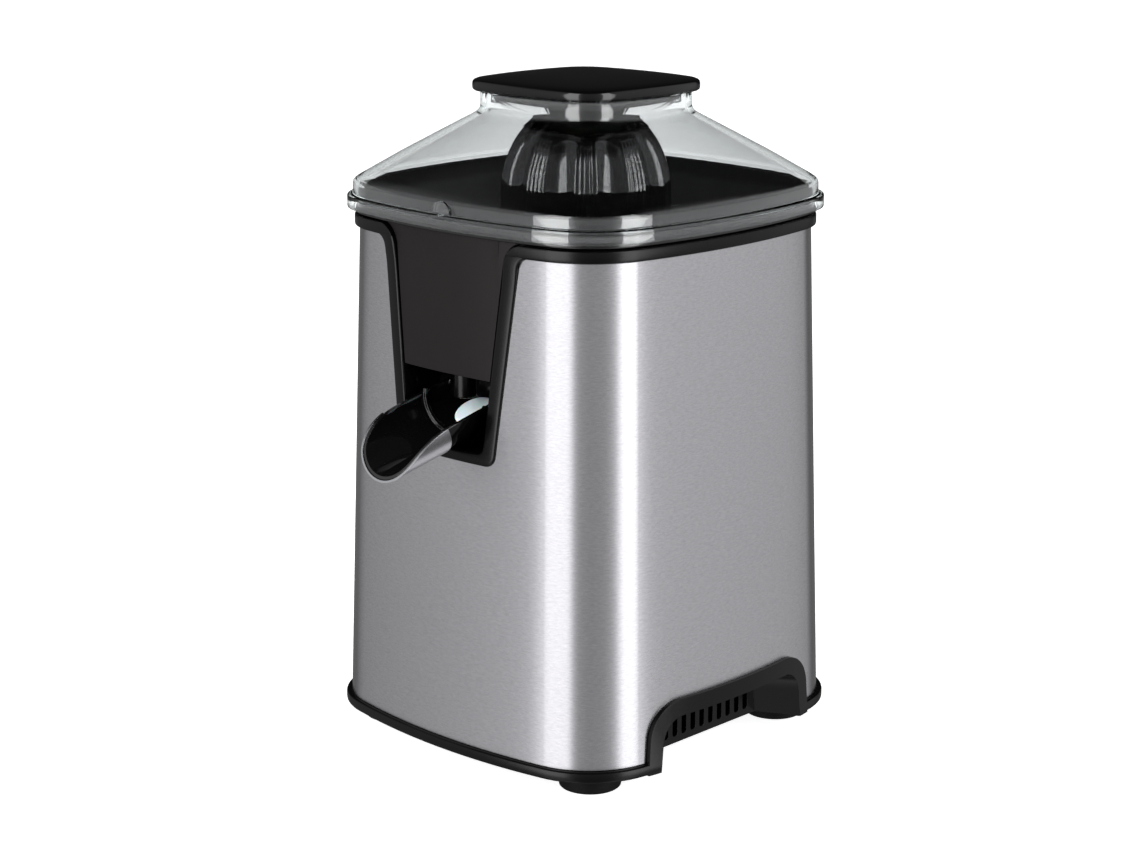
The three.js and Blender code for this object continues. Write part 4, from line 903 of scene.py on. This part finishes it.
def below_rim(name, drop=0.0):
    """Everything below the spout's rim and lip."""
    outline = [(x, y - drop) for x, y in reversed(lip_curve())]
    outline += [(-5, -drop), (-5, -40), (SPOUT_LENGTH, -40)]
    return prism(name, outline, -30, 30, SPOUT_FLANK)


def ahead_of_sleeve(name, clearance):
    """Everything ahead of the bright sleeve's slanted rear edge."""
    outline = [(52.1 - clearance, 6), (41.8 - clearance, -30), (90, -30), (90, 6)]
    return prism(name, outline, -30, 30, SPOUT_FLANK)


def tilted_disc(name, profile, centre):
    """A turned piece that leans back like the seal's seat."""
    piece = turned(name, profile, (0, 0), 72)
    y, z = centre
    place = Matrix.Translation(Vector(world(0, y, z))) @ Matrix.Rotation(math.radians(27), 4, "X")
    piece.data.transform(place @ Matrix.Translation(-ORIGIN))
    return piece


def spout():
    trough = cut(channel("trough", 0.7, 0, SPOUT_LENGTH), channel("inner", 2.3, 2.5, SPOUT_LENGTH + 2))
    keep(trough, below_rim("rim", 0.35))
    seat = cut(channel("seat", -2, -1, SPOUT_LENGTH + 1), channel("core", 1.15, -2, SPOUT_LENGTH + 2))
    keep(seat, ahead_of_sleeve("ahead", 0.3))
    cut(trough, seat)
    for side in (-1, 1):
        add(trough, cross_rod("lug", 5, side * 18.4, side * 24.6, PIVOT))
    stem_profile = [(0, -5.4), (4.5, -5.4), (4.5, -0.4), (0, -0.4)]
    stem = tilted_disc("stem", stem_profile, (SEAL[0] + 1.1, SEAL[1] - 2.5))
    add(trough, stem)
    collar = cut(channel("collar", 2.0, 20, 36), channel("hollow", 3.6, 19, 37))
    keep(collar, prism("slant", [(31.2, -20), (33, -20), (26.6, 1.3), (25.4, 1.3)], -30, 30, SPOUT_FLANK))
    cut(collar, prism("hidden", [(20, -0.6), (36, -0.6), (36, 5), (20, 5)], 5, 30, SPOUT_FLANK))
    add(trough, collar)
    cut(trough, cross_rod("bore", 1.8, -40, 40, PIVOT))
    finish(trough, "spout_channel", GLOSS_BLACK, "spout", ["spout_trough"], 40)
    sleeve = cut(channel("sleeve", 0, 0, SPOUT_LENGTH), channel("core", 0.9, -1, SPOUT_LENGTH + 1))
    keep(sleeve, below_rim("rim"), ahead_of_sleeve("ahead", 0))
    finish(sleeve, "spout_skin", SILVER, "spout", ["spout_sleeve"], 40)
    disc = tilted_disc("disc", [
        (0, -1.8), (8.7, -1.8), (9.1, -1.5), (9.2, -1.1), (9.1, -0.7), (8.7, -0.4), (8.0, -0.25),
        (6, -0.1), (3, -0.02), (0, 0),
    ], (SEAL[0], SEAL[1] - 0.8))
    finish(disc, "drip_seal", SILICONE, "spout", ["spout_seal"], 40)


steel_skin()
trim_band()
bay_edge()
spout_bay()
base_shell()
feet()
juice_bowl()
strainer()
reamer()
lid()
lid_cap()
spout()

# ------------------------------------------------------------------ nodes that keep their own shape
KEPT = {
    "cable_gland": RUBBER, "shaft_seal": RUBBER, "switch_plunger": RUBBER, "switch_body": GLOSS_BLACK,
    "motor_deck": GREY_PLASTIC, "gearbox_housing": GREY_PLASTIC, "gearbox_cover": GREY_PLASTIC,
    "output_gear": NYLON, "layshaft_gear": NYLON, "motor_fan": NYLON, "motor_core": IRON,
    "motor_rotor": IRON, "motor_coil": COPPER, "shaft_bush": BRONZE, "motor_pinion": BRONZE,
    "motor_bracket_upper": SILVER, "motor_bracket_lower": SILVER,
}
for node, piece in frame["nodes"].items():
    material = KEPT.get(node, BOLT_STEEL)
    for slot in piece.material_slots:
        slot.link = "OBJECT"
        slot.material = material


# ------------------------------------------------------------------ floor
def pale_floor(reach=6):
    mesh = bpy.data.meshes.new("floor")
    corners = [(-reach, -reach, 0), (reach, -reach, 0), (reach, reach, 0), (-reach, reach, 0)]
    mesh.from_pydata(corners, [], [(0, 1, 2, 3)])
    floor = bpy.data.objects.new("floor", mesh)
    scene.collection.objects.link(floor)
    material, _, _, shader = new_material("pale_floor")
    shader.inputs["Base Color"].default_value = (0.8, 0.8, 0.8, 1)
    shader.inputs["Roughness"].default_value = 0.9
    shader.inputs["Specular IOR Level"].default_value = 0.0
    shader.inputs["Emission Color"].default_value = (1, 1, 1, 1)
    shader.inputs["Emission Strength"].default_value = 0.9
    mesh.materials.append(material)
    floor.visible_glossy = False
    floor.visible_diffuse = False


# ------------------------------------------------------------------ studio
PEAK = 3.0
# Brightness around the studio, by the bearing from the front towards the right in degrees.
AROUND = [
    (-180, 0.015), (-104, 0.02), (-84, 0.35), (-66, 0.55), (-44, 0.69), (-26, 0.86), (-22.5, 0.93),
    (-19.5, 2.4), (14, 2.3), (18.5, 1.6), (23, 0.83), (30, 0.57), (44, 0.5), (62, 0.54), (71, 0.65),
    (79, 0.95), (85, 1.8), (90, 2.6), (111, 2.8), (114, 1.0), (118, 0.86), (138, 0.8), (158, 0.72),
    (170, 0.4), (180, 0.015),
]
CEILING, REAR_GLOW, BACKDROP = 0.02, 0.2, 1.02


def math_node(nodes, links, operation, *values):
    node = nodes.new("ShaderNodeMath")
    node.operation = operation
    for value, socket in zip(values, node.inputs):
        plug(links, value, socket)
    return node.outputs["Value"]


def vector_node(nodes, operation):
    node = nodes.new("ShaderNodeVectorMath")
    node.operation = operation
    return node


def walls(nodes, links, direction):
    """The studio's walls: softboxes and grey between them, a dark ceiling and a fall towards the floor."""
    up = direction.outputs["Z"]
    forwards = math_node(nodes, links, "MULTIPLY", direction.outputs["Y"], -1.0)
    bearing = math_node(nodes, links, "ARCTAN2", direction.outputs["X"], forwards)
    ramp = nodes.new("ShaderNodeValToRGB")
    links.new(spread(nodes, links, bearing, 0, 1, -math.pi, math.pi), ramp.inputs["Fac"])
    elements = ramp.color_ramp.elements
    elements[0].position = 0.0
    elements[-1].position = 1.0
    for degrees, _ in AROUND[1:-1]:
        elements.new(degrees / 360 + 0.5)
    for element, (_, value) in zip(elements, AROUND):
        level = value / PEAK
        element.color = (level, level, level * 1.02, 1)
    height = spread(nodes, links, up, 0, 1, 0.55, 0.85, "SMOOTHSTEP")
    lit = mixed(nodes, links, height, ramp.outputs["Color"], (CEILING / PEAK,) * 3)
    # below eye level the dark rear wall has some light too
    brighter = vector_node(nodes, "MAXIMUM")
    links.new(lit, brighter.inputs[0])
    links.new(spread(nodes, links, up, 0, REAR_GLOW / PEAK, 0.02, -0.12), brighter.inputs[1])
    strength = vector_node(nodes, "SCALE")
    links.new(brighter.outputs["Vector"], strength.inputs[0])
    fall = spread(nodes, links, up, 0.7 * PEAK, 1.12 * PEAK, -0.5, -0.05)
    links.new(fall, strength.inputs["Scale"])
    return strength.outputs["Vector"]


def sees_backdrop(nodes, links, direction):
    """1 for what is seen directly or through the clear lid alone; reflections see the studio."""
    path = nodes.new("ShaderNodeLightPath")
    crossed = path.outputs["Transmission Depth"]
    bounces = math_node(nodes, links, "ADD", path.outputs["Glossy Depth"], path.outputs["Diffuse Depth"])
    weighed = math_node(nodes, links, "MULTIPLY_ADD", bounces, 3.5, crossed)
    few = math_node(nodes, links, "LESS_THAN", weighed, 7.2)
    one_wall = math_node(nodes, links, "LESS_THAN", crossed, 2.5)
    either = math_node(nodes, links, "MAXIMUM", few, one_wall)
    through = math_node(nodes, links, "MULTIPLY", path.outputs["Is Transmission Ray"], either)
    is_level = math_node(nodes, links, "LESS_THAN", direction.outputs["Z"], 0.45)
    level_through = math_node(nodes, links, "MULTIPLY", through, is_level)
    return math_node(nodes, links, "MAXIMUM", path.outputs["Is Camera Ray"], level_through)


def studio_world():
    studio = bpy.data.worlds.new("studio")
    scene.world = studio
    studio.use_nodes = True
    nodes, links = studio.node_tree.nodes, studio.node_tree.links
    coordinates = nodes.new("ShaderNodeTexCoord")
    direction = nodes.new("ShaderNodeSeparateXYZ")
    links.new(coordinates.outputs["Generated"], direction.inputs["Vector"])
    around = walls(nodes, links, direction)
    straight = sees_backdrop(nodes, links, direction)
    seen = mixed(nodes, links, straight, around, (BACKDROP,) * 3)
    links.new(seen, nodes["Background"].inputs["Color"])


def area_light(name, width, height, energy):
    data = bpy.data.lights.new(name, "AREA")
    data.shape = "RECTANGLE"
    data.size = width
    data.size_y = height
    data.energy = energy
    light = bpy.data.objects.new(name, data)
    light.visible_camera = False
    scene.collection.objects.link(light)
    return light


def overhead_light():
    """A soft light from above that nothing mirrors."""
    light = area_light("overhead", 1.6, 1.6, 22)
    light.location = (0.2, -0.2, 1.7)
    light.visible_glossy = False
    light.visible_transmission = False


def softbox(name, bearing, width, receivers):
    """A tall soft light at a bearing from the front, which only the receivers mirror."""
    height, bottom, radiance, away = 1.7, -0.4, 4.5, 1.2
    light = area_light(name, width, height, radiance * math.pi * width * height)
    angle = math.radians(bearing)
    aim = Vector((math.sin(angle), -math.cos(angle), 0))
    light.location = ORIGIN + aim * away + Vector((0, 0, bottom + height / 2))
    light.rotation_euler = aim.to_track_quat("Z", "Y").to_euler()
    light.light_linking.receiver_collection = receivers


pale_floor()
studio_world()
overhead_light()
plastics = bpy.data.collections.new("plastics")
for piece in scene.objects:
    if piece.type == "MESH" and piece.name not in ("steel_skin", "floor", "spout_skin"):
        plastics.objects.link(piece)
softbox("front_softbox", -2, 0.78, plastics)
softbox("side_softbox", 99, 0.62, plastics)

bpy.context.view_layer.update()
